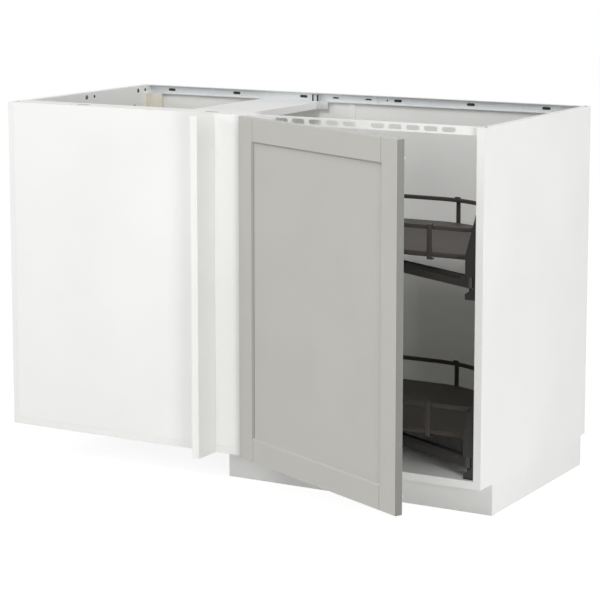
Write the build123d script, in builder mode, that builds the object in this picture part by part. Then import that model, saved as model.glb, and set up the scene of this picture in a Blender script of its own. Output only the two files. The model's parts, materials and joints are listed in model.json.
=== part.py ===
"""Corner base cabinet with a blind side, one framed door and two rollout trays.

Millimetres, Z up. The origin is the middle of the floor under the whole object, with the door
standing ajar. Places are given in the plane named cabinet: from the left side, from the front
plane of the boards and from the floor.
"""
import os
from math import atan2, cos, radians, sin, tan

from build123d import *

os.makedirs("parts", exist_ok=True)

# Carcass: a blind corner side on the left and a doorway on the right
blind_width = 591
stile_width = 102
doorway_width = 564
depth = 600
carcass_height = 800
leg_height = 80
board = 18
back_sheet = 4
return_depth = 75
post_depth = 62
top_board_depth = 65
joint_offset = 42
joint_strip_width = 18
joint_strip_thickness = 3.5
sheet_gap = 2
batten = 12
batten_depth = 34
batten_width = 44

# Crossbar under the open top and its steel bracket
crossbar_setback = 53
crossbar_width = 174
bracket_sheet = 1.5
crossbar_bracket_width = 28
crossbar_bracket_depth = 9
crossbar_tab_width = 3
crossbar_tab_height = 14
crossbar_tab_spacing = 12
crossbar_tab_inset = 7

# Galvanised rails along the top of the back
back_rail_height = 22
back_rail_lip = 12
rail_sheet = 1.2
rail_split_offset = 9
rail_slot_length = 22
rail_slot_width = 7
rail_slot_pitch = 201
left_slot_shift = -21.5
right_slot_shift = 32
rail_hole_radius = 2.5
rail_hole_offset = 30
joiner_setback = 31
joiner_width = 140
joiner_slot_length = 18
joiner_slot_width = 4
joiner_slot_inset = 23

# White rail over the doorway
vent_rail_height = 19
vent_rail_setback = 23
vent_rail_lip = 8
vent_rail_lap = 15
vent_slot_bridge = 10.8
vent_slot_width = 11
vent_pitch_share = 0.0756
vent_slots_in_group = 5
vent_group_shares = (0.2876, 0.7133)

# Small fittings let into the top
plate_length = 36
plate_width = 12
plate_thickness = 1.5
plate_setback = 30
plate_shares = (0.28, 0.833)
plug_radius = 3
plug_length = 8
plug_setback = 9
plug_shares = (0.2485, 0.586, 0.926)
clip_length = 14
clip_width = 6
clip_thickness = 3
clip_edge = 9
clip_setback = 28
clip_back_setback = 8

# Holes, dowels and screws
rail_hole_drop = 11
pilot_radius = 1.5
shelf_hole_radius = 2.5
blind_hole_depth = 10
pilot_shares = (0.56, 0.96)
shelf_hole_shares = (0.507, 0.895)
low_hole_share = 0.87
low_hole_drop = 52
dowel_radius = 4
dowel_in_side = 10
dowel_in_floor = 20
dowel_fit = 0.1
dowel_shares = (0.12, 0.5, 0.88)
screw_radius = 2
screw_head_radius = 4
screw_head = 2
screw_fit = 0.1
return_screw_length = 45
return_screw_shares = (0.1, 0.36, 0.64, 0.9)

# Legs and plinth
leg_radius = 16
leg_flange_radius = 32
leg_flange = 4
leg_sleeve_length = 54
leg_spigot_radius = 5
leg_spigot = 12
foot_radius = 24
foot_thickness = 7
stem_radius = 12.5
stem_fit = 0.08
stem_end_gap = 6
leg_inset = 70
mid_leg_share = 0.608
centre_leg_offset = 29
plinth_leg_gap = 33
plinth_board = 16
plinth_top_gap = 2
plinth_setback = 86
plinth_left_setback = 16
plinth_side_setback = 10
plinth_clip_width = 22
plinth_clip_height = 12
plinth_clip_wall = 3
front_clip_drop = 46
side_clip_drop = 28

# Door
door_lap_left = 23
door_lap_right = 10
door_thickness = 19
door_end_gap = 1.5
door_gap = 3
door_frame = 57
door_bevel = 4
panel_thickness = 7
panel_recess = 6
panel_tongue = 9
panel_fit = 0.2
bumper_radius = 4
bumper_thickness = 2.6
bumper_inset = 5
bumper_end = 40

# Door hinges
pin_inset = 7.5
pin_depth = 10
ajar_degrees = 25.5
hinge_end = 100
cup_radius = 17.5
cup_fit = 0.1
cup_edge = 3.5
cup_depth = 13.3
cup_wall = 1
cup_bottom = 0.8
cup_flange_height = 62
cup_flange_width = 26
cup_flange = 1.2
cup_screw_offset = 24
cup_screw_length = 12
pin_radius = 1.25
pin_half_length = 8.6
pin_fit = 0.05
ear_radius = 2.4
ear_start = 5.4
eye_radius = 2.1
eye_half_height = 5
neck_front = 1.5
neck_back = 1.2
strip_thickness = 2.5
strip_gap = 0.3
strip_end = 64
hinge_plate_height = 46
hinge_plate_start = 36
hinge_plate_end = 72
hinge_plate_thickness = 2.5
hinge_slot_fit = 0.2
hinge_screw_length = 14
hinge_screw_setback = 52
plate_screw_offset = 15

# Trays and swing arms
pivot_inset = 39
pivot_setback = 22
arm_length = 400
arm_degrees = 153
arm_width = 14
arm_height = 25
arm_drop = 55
arm_eye_radius = 9
arm_boss_radius = 18
pivot_radius = 4
pivot_fit = 0.06
pivot_end = 7
lower_tray_rise = 80
tray_pitch = 403
tray_floor = 12
tray_right_gap = 49
tray_near = 52
tray_length = 731
tray_corner = 14
bow_rise = 34
bow_width = 291
lobe_setback = 203
heel_radius = 84
lobe_flat = 7
lobe_radius = 140
near_edge_length = 176
waist_length = 280
waist_radius = 80
guard_inset = 1
guard_thickness = 5
guard_height = 10
guard_top = 72
post_width = 12
post_thickness = 3
tray_post_foot = 6
tray_post_cap = 3
near_post_inset = 106
waist_post_inset = 165
far_post_inset = 245
bow_post_degrees = (24, 80)
hub_radius = 48
hub_plate = 4
hub_neck_radius = 16
hub_pin_radius = 6
hub_pin_gap = 3
hub_gap = 0.5
hub_screw_ring = 36
hub_screw_length = 9

# Wall brackets that carry the arms
tray_bracket_setback = 10
tray_bracket_depth = 24
tray_bracket_height = 189
tray_bracket_out = 29.5
tray_bracket_foot = 12
tray_bracket_slant = 22
tray_bracket_waist = 16
tray_bracket_web = 10
tray_bracket_full = 98
tray_bracket_tip = 5
arm_end_gap = 0.5
bracket_screw_seat = 3.5
bracket_screw_length = 15
bracket_screw_shares = (0.45, 0.66, 0.88)

# Places that follow from the sizes
width = blind_width + stile_width + doorway_width + board
top = leg_height + carcass_height
floor_top = leg_height + board
under_top = top - board
rail_base = top - back_rail_height
inner_right = width - board
back_face = depth - back_sheet
stile_right = blind_width + stile_width
joint_middle = blind_width + joint_offset
crossbar_right = blind_width - crossbar_setback
crossbar_left = crossbar_right - crossbar_width
rail_split = blind_width + rail_split_offset
joiner_left = blind_width - joiner_setback
left_slot_middle = (board + rail_split) / 2 + left_slot_shift
right_slot_middle = (rail_split + inner_right) / 2 + right_slot_shift
vent_left = stile_right - vent_rail_lap
vent_length = inner_right - vent_left
vent_slot_pitch = vent_length * vent_pitch_share
vent_slot_length = vent_slot_pitch - vent_slot_bridge
top_board_length = vent_left - board
plinth_left = blind_width - plinth_left_setback
centre_leg = blind_width + centre_leg_offset
front_leg_setback = plinth_setback + plinth_board + plinth_leg_gap
leg_sleeve_end = leg_height - leg_sleeve_length
plinth_height = leg_height - plinth_top_gap
door_width = doorway_width + door_lap_left + door_lap_right
door_left = stile_right - door_lap_left
door_bottom = leg_height + door_end_gap
door_top = top - door_end_gap
door_front = pin_depth - door_thickness
free_edge = door_width - pin_inset
pin_x = door_left + pin_inset
pin_y = -door_gap - pin_depth
ajar = radians(ajar_degrees)
reach = free_edge * sin(ajar) - door_front * cos(ajar) - pin_y
front_plane = (depth + reach) / 2 - depth
cup_u = cup_edge + cup_radius - pin_inset
hinge_heights = (door_bottom + hinge_end, door_top - hinge_end)
pivot_x = width - pivot_inset
tray_right = width - tray_right_gap
tray_left = tray_right - tray_length
bow_start = tray_near + bow_rise
bow_left = tray_right - bow_width
lobe_near = tray_near + lobe_setback
tray_far = lobe_near + heel_radius + lobe_flat + lobe_radius
waist_right = tray_right - near_edge_length
waist_left = waist_right - waist_length
hub_x = pivot_x + arm_length * cos(radians(arm_degrees))
hub_y = pivot_setback + arm_length * sin(radians(arm_degrees))
plinth_right = width - plinth_side_setback
right_leg = width - leg_inset
back_leg = depth - leg_inset
tray_levels = {
    "lower": floor_top + lower_tray_rise,
    "upper": floor_top + lower_tray_rise + tray_pitch,
}
leg_places = {
    "rear_left": (leg_inset, back_leg),
    "mid_left": (leg_inset, depth * mid_leg_share),
    "rear_centre": (centre_leg, back_leg),
    "front_centre": (centre_leg, front_leg_setback),
    "rear_right": (right_leg, back_leg),
    "front_right": (right_leg, front_leg_setback),
}

# Frames of the boards, the door leaf and the arms, all with Z up
cabinet = Plane(origin=(-width / 2, front_plane, 0))
leaf = Plane(
    origin=cabinet.from_local_coords(Vector(pin_x, pin_y, 0)),
    x_dir=(cos(ajar), -sin(ajar), 0),
    z_dir=(0, 0, 1),
)
swing = Plane(
    origin=cabinet.from_local_coords(Vector(pivot_x, pivot_setback, 0)),
    x_dir=(cos(radians(arm_degrees)), sin(radians(arm_degrees)), 0),
    z_dir=(0, 0, 1),
)
hub = Plane(origin=cabinet.from_local_coords(Vector(hub_x, hub_y, 0)))


def facing(normal, across, x, y, z, base=cabinet):
    """A plane at a place in a base frame, with its normal and its X given in that frame."""
    origin = base.from_local_coords(Vector(x, y, z))
    z_dir = base.from_local_coords(Vector(*normal)) - base.origin
    x_dir = base.from_local_coords(Vector(*across)) - base.origin
    return Plane(origin, x_dir=x_dir, z_dir=z_dir)


def facing_right(x, y, z, base=cabinet):
    """A plane that faces right, with its X to the back and its Y up."""
    return facing((1, 0, 0), (0, 1, 0), x, y, z, base)


def facing_left(x, y, z, base=cabinet):
    """A plane that faces left, with its X to the front and its Y up."""
    return facing((-1, 0, 0), (0, -1, 0), x, y, z, base)


def facing_front(x, y, z, base=cabinet):
    """A plane that faces the front, with its X to the right and its Y up."""
    return facing((0, -1, 0), (1, 0, 0), x, y, z, base)


def facing_back(x, y, z, base=cabinet):
    """A plane that faces the back, with its X to the left and its Y up."""
    return facing((0, 1, 0), (-1, 0, 0), x, y, z, base)


def span(middle, size):
    """The two ends of a size that lies evenly about a middle."""
    return middle - size / 2, middle + size / 2


def block(base, x_span, y_span, z_span, mode=Mode.ADD):
    """A straight block between two values on each axis of a base frame."""
    with BuildSketch(base.offset(z_span[0])) as foot_print:
        with Locations((sum(x_span) / 2, sum(y_span) / 2)):
            Rectangle(x_span[1] - x_span[0], y_span[1] - y_span[0])
    extrude(foot_print.sketch, amount=z_span[1] - z_span[0], mode=mode)


def rod(base, radius, start, end, mode=Mode.ADD):
    """A round bar on the normal of a base plane."""
    with BuildSketch(base.offset(start)) as disc:
        Circle(radius)
    extrude(disc.sketch, amount=end - start, mode=mode)


def screw(base, length, grow=0, mode=Mode.ADD):
    """A flush screw that points against a face's normal, or with mode the hole it sits in."""
    rod(base, screw_radius + grow, -length - grow, -screw_head, mode)
    rod(base, screw_head_radius + grow, -screw_head, 0, mode)


def floor_dowels(grow=0, mode=Mode.ADD):
    """The dowels between the bottom board and the sides, or their holes."""
    for share in dowel_shares:
        left_end = facing_right(board, depth * share, leg_height + board / 2)
        rod(left_end, dowel_radius + grow, -dowel_in_side, dowel_in_floor, mode)
        right_end = facing_right(inner_right, depth * share, leg_height + board / 2)
        rod(right_end, dowel_radius + grow, -dowel_in_floor, dowel_in_side, mode)


def return_screws(grow=0, mode=Mode.ADD):
    """The screws that hold the return board from behind the blind panel, or their holes."""
    for share in return_screw_shares:
        seat = facing_back(blind_width - board / 2, board, leg_height + carcass_height * share)
        screw(seat, return_screw_length, grow, mode)


def bracket_screws(grow=0, mode=Mode.ADD):
    """The screws of both tray brackets into the right side, or their holes."""
    for level in tray_levels.values():
        for share in bracket_screw_shares:
            height = level - arm_drop - arm_height + tray_bracket_height * share
            middle = tray_bracket_setback + tray_bracket_depth / 2
            seat = facing_left(inner_right - bracket_screw_seat - screw_head, middle, height)
            screw(seat, bracket_screw_length, grow, mode)


def hinge_screws(grow=0, mode=Mode.ADD):
    """The screws of the hinge plates and hinge arms into the post, or their holes."""
    for height in hinge_heights:
        for shift in (-plate_screw_offset, 0, plate_screw_offset):
            head = stile_right + strip_gap + strip_thickness
            seat = facing_right(head, hinge_screw_setback, height + shift)
            screw(seat, hinge_screw_length, grow, mode)


# Sides with their blind holes
with BuildPart() as side_panel_left:
    block(cabinet, (0, board), (0, depth), (leg_height, top))
    floor_dowels(dowel_fit, Mode.SUBTRACT)
    for share in pilot_shares:
        drilled = facing_right(board, depth * share, top - rail_hole_drop)
        rod(drilled, pilot_radius, -blind_hole_depth, 0, Mode.SUBTRACT)
    for share in shelf_hole_shares:
        drilled = facing_right(board, depth * share, top - rail_hole_drop)
        rod(drilled, shelf_hole_radius, -blind_hole_depth, 0, Mode.SUBTRACT)
    drilled = facing_right(board, depth * low_hole_share, top - low_hole_drop)
    rod(drilled, shelf_hole_radius, -blind_hole_depth, 0, Mode.SUBTRACT)
    block(
        cabinet,
        span(clip_edge, clip_width),
        span(clip_setback, clip_length),
        (top - clip_thickness, top),
        Mode.SUBTRACT,
    )
side_panel_left.part.label = "side_panel_left"
export_step(side_panel_left.part, "parts/side_panel_left.step")

with BuildPart() as side_panel_right:
    block(cabinet, (inner_right, width), (0, depth), (leg_height, top))
    floor_dowels(dowel_fit, Mode.SUBTRACT)
    bracket_screws(screw_fit, Mode.SUBTRACT)
    for setback in (clip_setback, depth - clip_back_setback):
        block(
            cabinet,
            span(width - clip_edge, clip_width),
            span(setback, clip_length),
            (top - clip_thickness, top),
            Mode.SUBTRACT,
        )
side_panel_right.part.label = "side_panel_right"
export_step(side_panel_right.part, "parts/side_panel_right.step")

# Bottom board, drilled for the dowels and the legs
with BuildPart() as bottom_panel:
    block(cabinet, (board, inner_right), (0, depth), (leg_height, floor_top))
    floor_dowels(dowel_fit, Mode.SUBTRACT)
    for x, y in leg_places.values():
        rod(facing((0, 0, 1), (1, 0, 0), x, y, leg_height), leg_spigot_radius + dowel_fit,
            0, leg_spigot, Mode.SUBTRACT)
bottom_panel.part.label = "bottom_panel"
export_step(bottom_panel.part, "parts/bottom_panel.step")

with BuildPart() as carcass_dowels:
    floor_dowels()
carcass_dowels.part.label = "carcass_dowels"
export_step(carcass_dowels.part, "parts/carcass_dowels.step")

# Thin back in two sheets, the strip over their joint and the batten in the corner
with BuildPart() as back_panel_left:
    block(cabinet, (board, joint_middle - sheet_gap / 2), (back_face, depth), (floor_top, rail_base))
back_panel_left.part.label = "back_panel_left"
export_step(back_panel_left.part, "parts/back_panel_left.step")

with BuildPart() as back_panel_right:
    block(
        cabinet,
        (joint_middle + sheet_gap / 2, inner_right),
        (back_face, depth),
        (floor_top, rail_base),
    )
back_panel_right.part.label = "back_panel_right"
export_step(back_panel_right.part, "parts/back_panel_right.step")

with BuildPart() as back_joint_strip:
    block(
        cabinet,
        span(joint_middle, joint_strip_width),
        (back_face - joint_strip_thickness, back_face),
        (floor_top, rail_base),
    )
back_joint_strip.part.label = "back_joint_strip"
export_step(back_joint_strip.part, "parts/back_joint_strip.step")

with BuildPart() as corner_batten:
    block(cabinet, (board, board + batten), (back_face - batten_depth, back_face), (floor_top, rail_base))
    block(cabinet, (board, board + batten_width), (back_face - batten, back_face), (floor_top, rail_base))
corner_batten.part.label = "corner_batten"
export_step(corner_batten.part, "parts/corner_batten.step")

# Closed front of the corner side
with BuildPart() as blind_panel:
    block(cabinet, (board, blind_width), (0, board), (floor_top, under_top))
    return_screws(screw_fit, Mode.SUBTRACT)
blind_panel.part.label = "blind_panel"
export_step(blind_panel.part, "parts/blind_panel.step")

with BuildPart() as return_board:
    block(cabinet, (blind_width - board, blind_width), (-return_depth, 0), (leg_height, top))
    return_screws(screw_fit, Mode.SUBTRACT)
return_board.part.label = "return_board"
export_step(return_board.part, "parts/return_board.step")

with BuildPart() as hinge_stile:
    block(cabinet, (blind_width, stile_right), (0, board), (floor_top, under_top))
hinge_stile.part.label = "hinge_stile"
export_step(hinge_stile.part, "parts/hinge_stile.step")

with BuildPart() as hinge_post:
    block(
        cabinet,
        (stile_right - board, stile_right),
        (board, board + post_depth),
        (floor_top, top - vent_rail_height),
    )
    hinge_screws(screw_fit, Mode.SUBTRACT)
hinge_post.part.label = "hinge_post"
export_step(hinge_post.part, "parts/hinge_post.step")


def oval_plates(grow=0, mode=Mode.ADD):
    """The flat oval plates let into the top board, or their beds."""
    with BuildSketch(cabinet.offset(top - plate_thickness)) as ovals:
        for share in plate_shares:
            with Locations((board + top_board_length * share, plate_setback)):
                SlotOverall(plate_length + 2 * grow, plate_width + 2 * grow)
    extrude(ovals.sketch, amount=plate_thickness, mode=mode)


def edge_plugs(grow=0, mode=Mode.ADD):
    """The round plugs in the top board behind its front edge, or their holes."""
    for share in plug_shares:
        x = board + top_board_length * share
        place = facing((0, 0, 1), (1, 0, 0), x, plug_setback, top)
        rod(place, plug_radius + grow, -plug_length, 0, mode)


with BuildPart() as top_front_board:
    block(cabinet, (board, vent_left), (0, top_board_depth), (under_top, top))
    oval_plates(screw_fit, Mode.SUBTRACT)
    edge_plugs(screw_fit, Mode.SUBTRACT)
top_front_board.part.label = "top_front_board"
export_step(top_front_board.part, "parts/top_front_board.step")

with BuildPart() as top_plates:
    oval_plates()
top_plates.part.label = "top_plates"
export_step(top_plates.part, "parts/top_plates.step")

with BuildPart() as top_plugs:
    edge_plugs()
top_plugs.part.label = "top_plugs"
export_step(top_plugs.part, "parts/top_plugs.step")

with BuildPart() as rail_end_clips:
    clip_height = (top - clip_thickness, top)
    left_edge = span(clip_edge, clip_width - screw_fit)
    right_edge = span(width - clip_edge, clip_width - screw_fit)
    block(cabinet, left_edge, span(clip_setback, clip_length - screw_fit), clip_height)
    block(cabinet, right_edge, span(clip_setback, clip_length - screw_fit), clip_height)
    back_bed = span(depth - clip_back_setback, clip_length - screw_fit)
    block(cabinet, right_edge, back_bed, clip_height)
rail_end_clips.part.label = "rail_end_clips"
export_step(rail_end_clips.part, "parts/rail_end_clips.step")

# Crossbar from front to back and the bracket that ties it to the rail
with BuildPart() as crossbar:
    block(cabinet, (crossbar_left, crossbar_right), (board, back_face), (rail_base - board, rail_base))
crossbar.part.label = "crossbar"
export_step(crossbar.part, "parts/crossbar.step")

with BuildPart() as crossbar_bracket:
    rail_front = depth - back_rail_lip
    plate_span = (rail_front - crossbar_bracket_depth, rail_front)
    block(
        cabinet,
        (crossbar_right, crossbar_right + bracket_sheet),
        plate_span,
        (rail_base - board, rail_base + bracket_sheet),
    )
    block(
        cabinet,
        (crossbar_right, crossbar_right + crossbar_bracket_width),
        (rail_front - bracket_sheet, rail_front),
        (rail_base - board, rail_base + bracket_sheet),
    )
    first_tab = crossbar_right - crossbar_tab_inset
    tab_low = rail_base + bracket_sheet
    block(
        cabinet,
        (first_tab - crossbar_tab_spacing - crossbar_tab_width / 2, crossbar_right + bracket_sheet),
        plate_span,
        (rail_base, tab_low),
    )
    for tab in (first_tab, first_tab - crossbar_tab_spacing):
        block(
            cabinet,
            span(tab, crossbar_tab_width),
            (rail_front - bracket_sheet, rail_front),
            (tab_low, rail_base + crossbar_tab_height),
        )
crossbar_bracket.part.label = "crossbar_bracket"
export_step(crossbar_bracket.part, "parts/crossbar_bracket.step")


def back_rail(x_span):
    """A channel with its web against the wall and two lips towards the front."""
    block(cabinet, x_span, (depth - rail_sheet, depth), (rail_base, top))
    block(cabinet, x_span, (depth - back_rail_lip, depth), (rail_base, rail_base + rail_sheet))
    block(cabinet, x_span, (depth - back_rail_lip, depth), (top - rail_sheet, top))


def rail_slots(middle):
    """Three wall slots in a rail, one pitch apart."""
    with BuildSketch(facing_front(0, depth, rail_base + back_rail_height / 2)) as slots:
        with Locations((middle, 0)):
            with GridLocations(rail_slot_pitch, 0, 3, 1):
                SlotOverall(rail_slot_length, rail_slot_width)
    extrude(slots.sketch, amount=rail_sheet, mode=Mode.SUBTRACT)


def joiner_slots():
    """The two thin slots of the joiner, which go through it and the rails behind it."""
    ends = (joiner_left + joiner_slot_inset, joiner_left + joiner_width - joiner_slot_inset)
    with BuildSketch(facing_front(0, depth, rail_base + back_rail_height / 2)) as slots:
        for x in ends:
            with Locations((x, 0)):
                SlotOverall(joiner_slot_length, joiner_slot_width)
    extrude(slots.sketch, amount=2 * rail_sheet, mode=Mode.SUBTRACT)


with BuildPart() as back_rail_left:
    back_rail((board, rail_split))
    rail_slots(left_slot_middle)
    joiner_slots()
back_rail_left.part.label = "back_rail_left"
export_step(back_rail_left.part, "parts/back_rail_left.step")

with BuildPart() as back_rail_right:
    back_rail((rail_split, inner_right))
    rail_slots(right_slot_middle)
    joiner_slots()
    hole_x = right_slot_middle - rail_slot_pitch - rail_hole_offset
    hole_place = facing_front(hole_x, depth, rail_base + back_rail_height / 2)
    rod(hole_place, rail_hole_radius, 0, rail_sheet, Mode.SUBTRACT)
back_rail_right.part.label = "back_rail_right"
export_step(back_rail_right.part, "parts/back_rail_right.step")

with BuildPart() as back_rail_joiner:
    block(
        cabinet,
        (joiner_left, joiner_left + joiner_width),
        (depth - 2 * rail_sheet, depth - rail_sheet),
        (rail_base + rail_sheet, top - rail_sheet),
    )
    joiner_slots()
back_rail_joiner.part.label = "back_rail_joiner"
export_step(back_rail_joiner.part, "parts/back_rail_joiner.step")

# White channel over the doorway with two groups of air slots
with BuildPart() as vent_rail:
    rail_low = top - vent_rail_height
    rail_span = (vent_left, inner_right)
    lip_span = (vent_rail_setback, vent_rail_setback + vent_rail_lip)
    block(cabinet, rail_span, (vent_rail_setback, vent_rail_setback + rail_sheet), (rail_low, top))
    block(cabinet, rail_span, lip_span, (rail_low, rail_low + rail_sheet))
    block(cabinet, rail_span, lip_span, (top - rail_sheet, top))
    with BuildSketch(facing_front(vent_left, vent_rail_setback + rail_sheet, rail_low)):
        for share in vent_group_shares:
            with Locations((vent_length * share, vent_rail_height / 2)):
                with GridLocations(vent_slot_pitch, 0, vent_slots_in_group, 1):
                    SlotOverall(vent_slot_length, vent_slot_width)
    extrude(amount=rail_sheet, mode=Mode.SUBTRACT)
vent_rail.part.label = "vent_rail"
export_step(vent_rail.part, "parts/vent_rail.step")

# Legs: sleeves plugged into the bottom board, and feet that turn in them
with BuildPart() as leg_sleeves:
    for x, y in leg_places.values():
        leg = facing((0, 0, 1), (1, 0, 0), x, y, 0)
        rod(leg, leg_flange_radius, leg_height - leg_flange, leg_height)
        rod(leg, leg_radius, leg_sleeve_end, leg_height)
        rod(leg, leg_spigot_radius, leg_height, leg_height + leg_spigot)
        rod(leg, stem_radius + stem_fit, leg_sleeve_end, leg_height - leg_flange, Mode.SUBTRACT)
leg_sleeves.part.label = "leg_sleeves"
export_step(leg_sleeves.part, "parts/leg_sleeves.step")

for place, (x, y) in leg_places.items():
    leg = facing((0, 0, 1), (1, 0, 0), x, y, 0)
    with BuildPart() as foot:
        rod(leg, foot_radius, 0, foot_thickness)
        rod(leg, stem_radius, foot_thickness, leg_height - leg_flange - stem_end_gap)
        chamfer(foot.edges().filter_by(GeomType.CIRCLE).group_by(Axis.Z)[-1], stem_fit)
    foot.part.label = "foot_" + place
    export_step(foot.part, f"parts/foot_{place}.step")

# Plinth and the clips that hold it to the legs
with BuildPart() as plinth_front:
    plinth_back = plinth_setback + plinth_board
    block(cabinet, (plinth_left, plinth_right), (plinth_setback, plinth_back), (0, plinth_height))
plinth_front.part.label = "plinth_front"
export_step(plinth_front.part, "parts/plinth_front.step")

with BuildPart() as plinth_side:
    side_span = (plinth_right - plinth_board, plinth_right)
    block(cabinet, side_span, (plinth_back, depth), (0, plinth_height))
plinth_side.part.label = "plinth_side"
export_step(plinth_side.part, "parts/plinth_side.step")


def plinth_clip(base, reach_out, low):
    """A ring round a leg with a stem towards the plinth, which lies on the frame's own X."""
    high = low + plinth_clip_height
    rod(base, leg_radius + screw_fit + plinth_clip_wall, low, high)
    block(base, (0, reach_out), span(0, plinth_clip_width), (low, high))
    rod(base, leg_radius + screw_fit, low, high, Mode.SUBTRACT)


with BuildPart() as front_clips:
    for x in (centre_leg, right_leg):
        leg = facing((0, 0, 1), (0, -1, 0), x, front_leg_setback, 0)
        plinth_clip(leg, front_leg_setback - plinth_back, leg_height - front_clip_drop)
front_clips.part.label = "plinth_clips_front"
export_step(front_clips.part, "parts/plinth_clips_front.step")

with BuildPart() as side_clips:
    for y in (front_leg_setback, back_leg):
        leg = facing((0, 0, 1), (1, 0, 0), right_leg, y, 0)
        plinth_clip(leg, plinth_right - plinth_board - right_leg, leg_height - side_clip_drop)
side_clips.part.label = "plinth_clips_side"
export_step(side_clips.part, "parts/plinth_clips_side.step")


# Door: two full stiles, two rails between them and a panel held in their grooves
def panel_slab(grow=0, mode=Mode.ADD):
    """The panel with its tongues, or the room for it in the frame."""
    margin = door_frame - panel_tongue
    face = door_front + panel_recess
    block(
        leaf,
        (margin - pin_inset - grow, free_edge - margin + grow),
        (face - grow, face + panel_thickness + grow),
        (door_bottom + margin - grow, door_top - margin + grow),
        mode,
    )


def frame_bevel():
    """Cuts the slope that runs round the inside of the frame's front."""
    middle = free_edge - door_width / 2
    inward = facing((0, 1, 0), (1, 0, 0), middle, door_front, (door_bottom + door_top) / 2, leaf)
    with BuildSketch(inward) as opening:
        margins = 2 * (door_frame - door_bevel)
        Rectangle(door_width - margins, door_top - door_bottom - margins)
    extrude(opening.sketch, amount=door_bevel, taper=45, mode=Mode.SUBTRACT)


def hinge_bores():
    """The round beds of the hinge cups and their screws, in the back of the hinge stile."""
    for height in hinge_heights:
        back = facing_back(cup_u, pin_depth, height, leaf)
        rod(back, cup_radius + cup_fit, -cup_depth - cup_fit, 0, Mode.SUBTRACT)
        for shift in (-cup_screw_offset, cup_screw_offset):
            place = facing_back(cup_u, pin_depth, height + shift, leaf)
            rod(place, screw_radius + screw_fit, -cup_screw_length, 0, Mode.SUBTRACT)


with BuildPart() as door_stile_hinge:
    stile_span = (-pin_inset, door_frame - pin_inset)
    block(leaf, stile_span, (door_front, pin_depth), (door_bottom, door_top))
    panel_slab(panel_fit, Mode.SUBTRACT)
    frame_bevel()
    hinge_bores()
door_stile_hinge.part.label = "door_stile_hinge"
export_step(door_stile_hinge.part, "parts/door_stile_hinge.step")

with BuildPart() as door_stile_free:
    stile_span = (free_edge - door_frame, free_edge)
    block(leaf, stile_span, (door_front, pin_depth), (door_bottom, door_top))
    panel_slab(panel_fit, Mode.SUBTRACT)
    frame_bevel()
door_stile_free.part.label = "door_stile_free"
export_step(door_stile_free.part, "parts/door_stile_free.step")

for place, rail_span in {
    "top": (door_top - door_frame, door_top),
    "bottom": (door_bottom, door_bottom + door_frame),
}.items():
    with BuildPart() as door_rail:
        between = (door_frame - pin_inset, free_edge - door_frame)
        block(leaf, between, (door_front, pin_depth), rail_span)
        panel_slab(panel_fit, Mode.SUBTRACT)
        frame_bevel()
    door_rail.part.label = "door_rail_" + place
    export_step(door_rail.part, f"parts/door_rail_{place}.step")

with BuildPart() as door_panel:
    panel_slab()
door_panel.part.label = "door_panel"
export_step(door_panel.part, "parts/door_panel.step")

with BuildPart() as door_bumpers:
    for height in (door_bottom + bumper_end, door_top - bumper_end):
        back = facing_back(free_edge - bumper_inset, pin_depth, height, leaf)
        rod(back, bumper_radius, 0, bumper_thickness)
door_bumpers.part.label = "door_bumpers"
export_step(door_bumpers.part, "parts/door_bumpers.step")

# Hinge cups in the door, with two ears for the pin
def cup_rounds(outer, inner, start, end, mode=Mode.ADD):
    """A disc, or a ring where it has an inner radius, about the middle of each hinge cup."""
    with BuildSketch(facing_back(cup_u, pin_depth, 0, leaf).offset(start)) as rounds:
        for height in hinge_heights:
            with Locations((0, height)):
                Circle(outer)
                if inner:
                    Circle(inner, mode=Mode.SUBTRACT)
    extrude(rounds.sketch, amount=end - start, mode=mode)


with BuildPart() as hinge_cups:
    ear_thickness = pin_half_length - ear_start
    cup_inside = cup_radius - cup_wall
    for height in hinge_heights:
        for side in (-1, 1):
            ear = span(height + side * (ear_start + ear_thickness / 2), ear_thickness)
            ear_deep = (pin_depth - cup_depth + cup_bottom, ear_radius)
            block(leaf, (cup_u - cup_radius, ear_radius), ear_deep, ear)
    cup_rounds(cup_inside, 0, -cup_depth, 0, Mode.INTERSECT)
    cup_rounds(cup_radius, cup_inside, -cup_depth, 0)
    cup_rounds(cup_radius, 0, -cup_depth, -cup_depth + cup_bottom)
    for height in hinge_heights:
        flange_left = cup_edge - pin_inset
        flange_y = (pin_depth, pin_depth + cup_flange)
        flange_x = (flange_left, flange_left + cup_flange_width)
        block(leaf, flange_x, flange_y, span(height, cup_flange_height))
        for shift in (-cup_screw_offset, cup_screw_offset):
            place = facing_back(cup_u, pin_depth, height + shift, leaf)
            rod(place, screw_radius + screw_fit, 0, cup_flange, Mode.SUBTRACT)
        pin_room = (height - pin_half_length, height + pin_half_length)
        rod(leaf, pin_radius + pin_fit, *pin_room, Mode.SUBTRACT)
    cup_rounds(cup_inside, 0, 0, cup_flange, Mode.SUBTRACT)
hinge_cups.part.label = "hinge_cups"
export_step(hinge_cups.part, "parts/hinge_cups.step")

with BuildPart() as hinge_cup_screws:
    for height in hinge_heights:
        for shift in (-cup_screw_offset, cup_screw_offset):
            place = facing_back(cup_u, pin_depth, height + shift, leaf)
            rod(place, screw_radius, -cup_screw_length, cup_flange)
            rod(place, screw_head_radius, cup_flange, 2 * cup_flange)
hinge_cup_screws.part.label = "hinge_cup_screws"
export_step(hinge_cup_screws.part, "parts/hinge_cup_screws.step")

with BuildPart() as hinge_pins:
    for height in hinge_heights:
        rod(leaf, pin_radius, height - pin_half_length, height + pin_half_length)
hinge_pins.part.label = "hinge_pins"
export_step(hinge_pins.part, "parts/hinge_pins.step")

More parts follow.
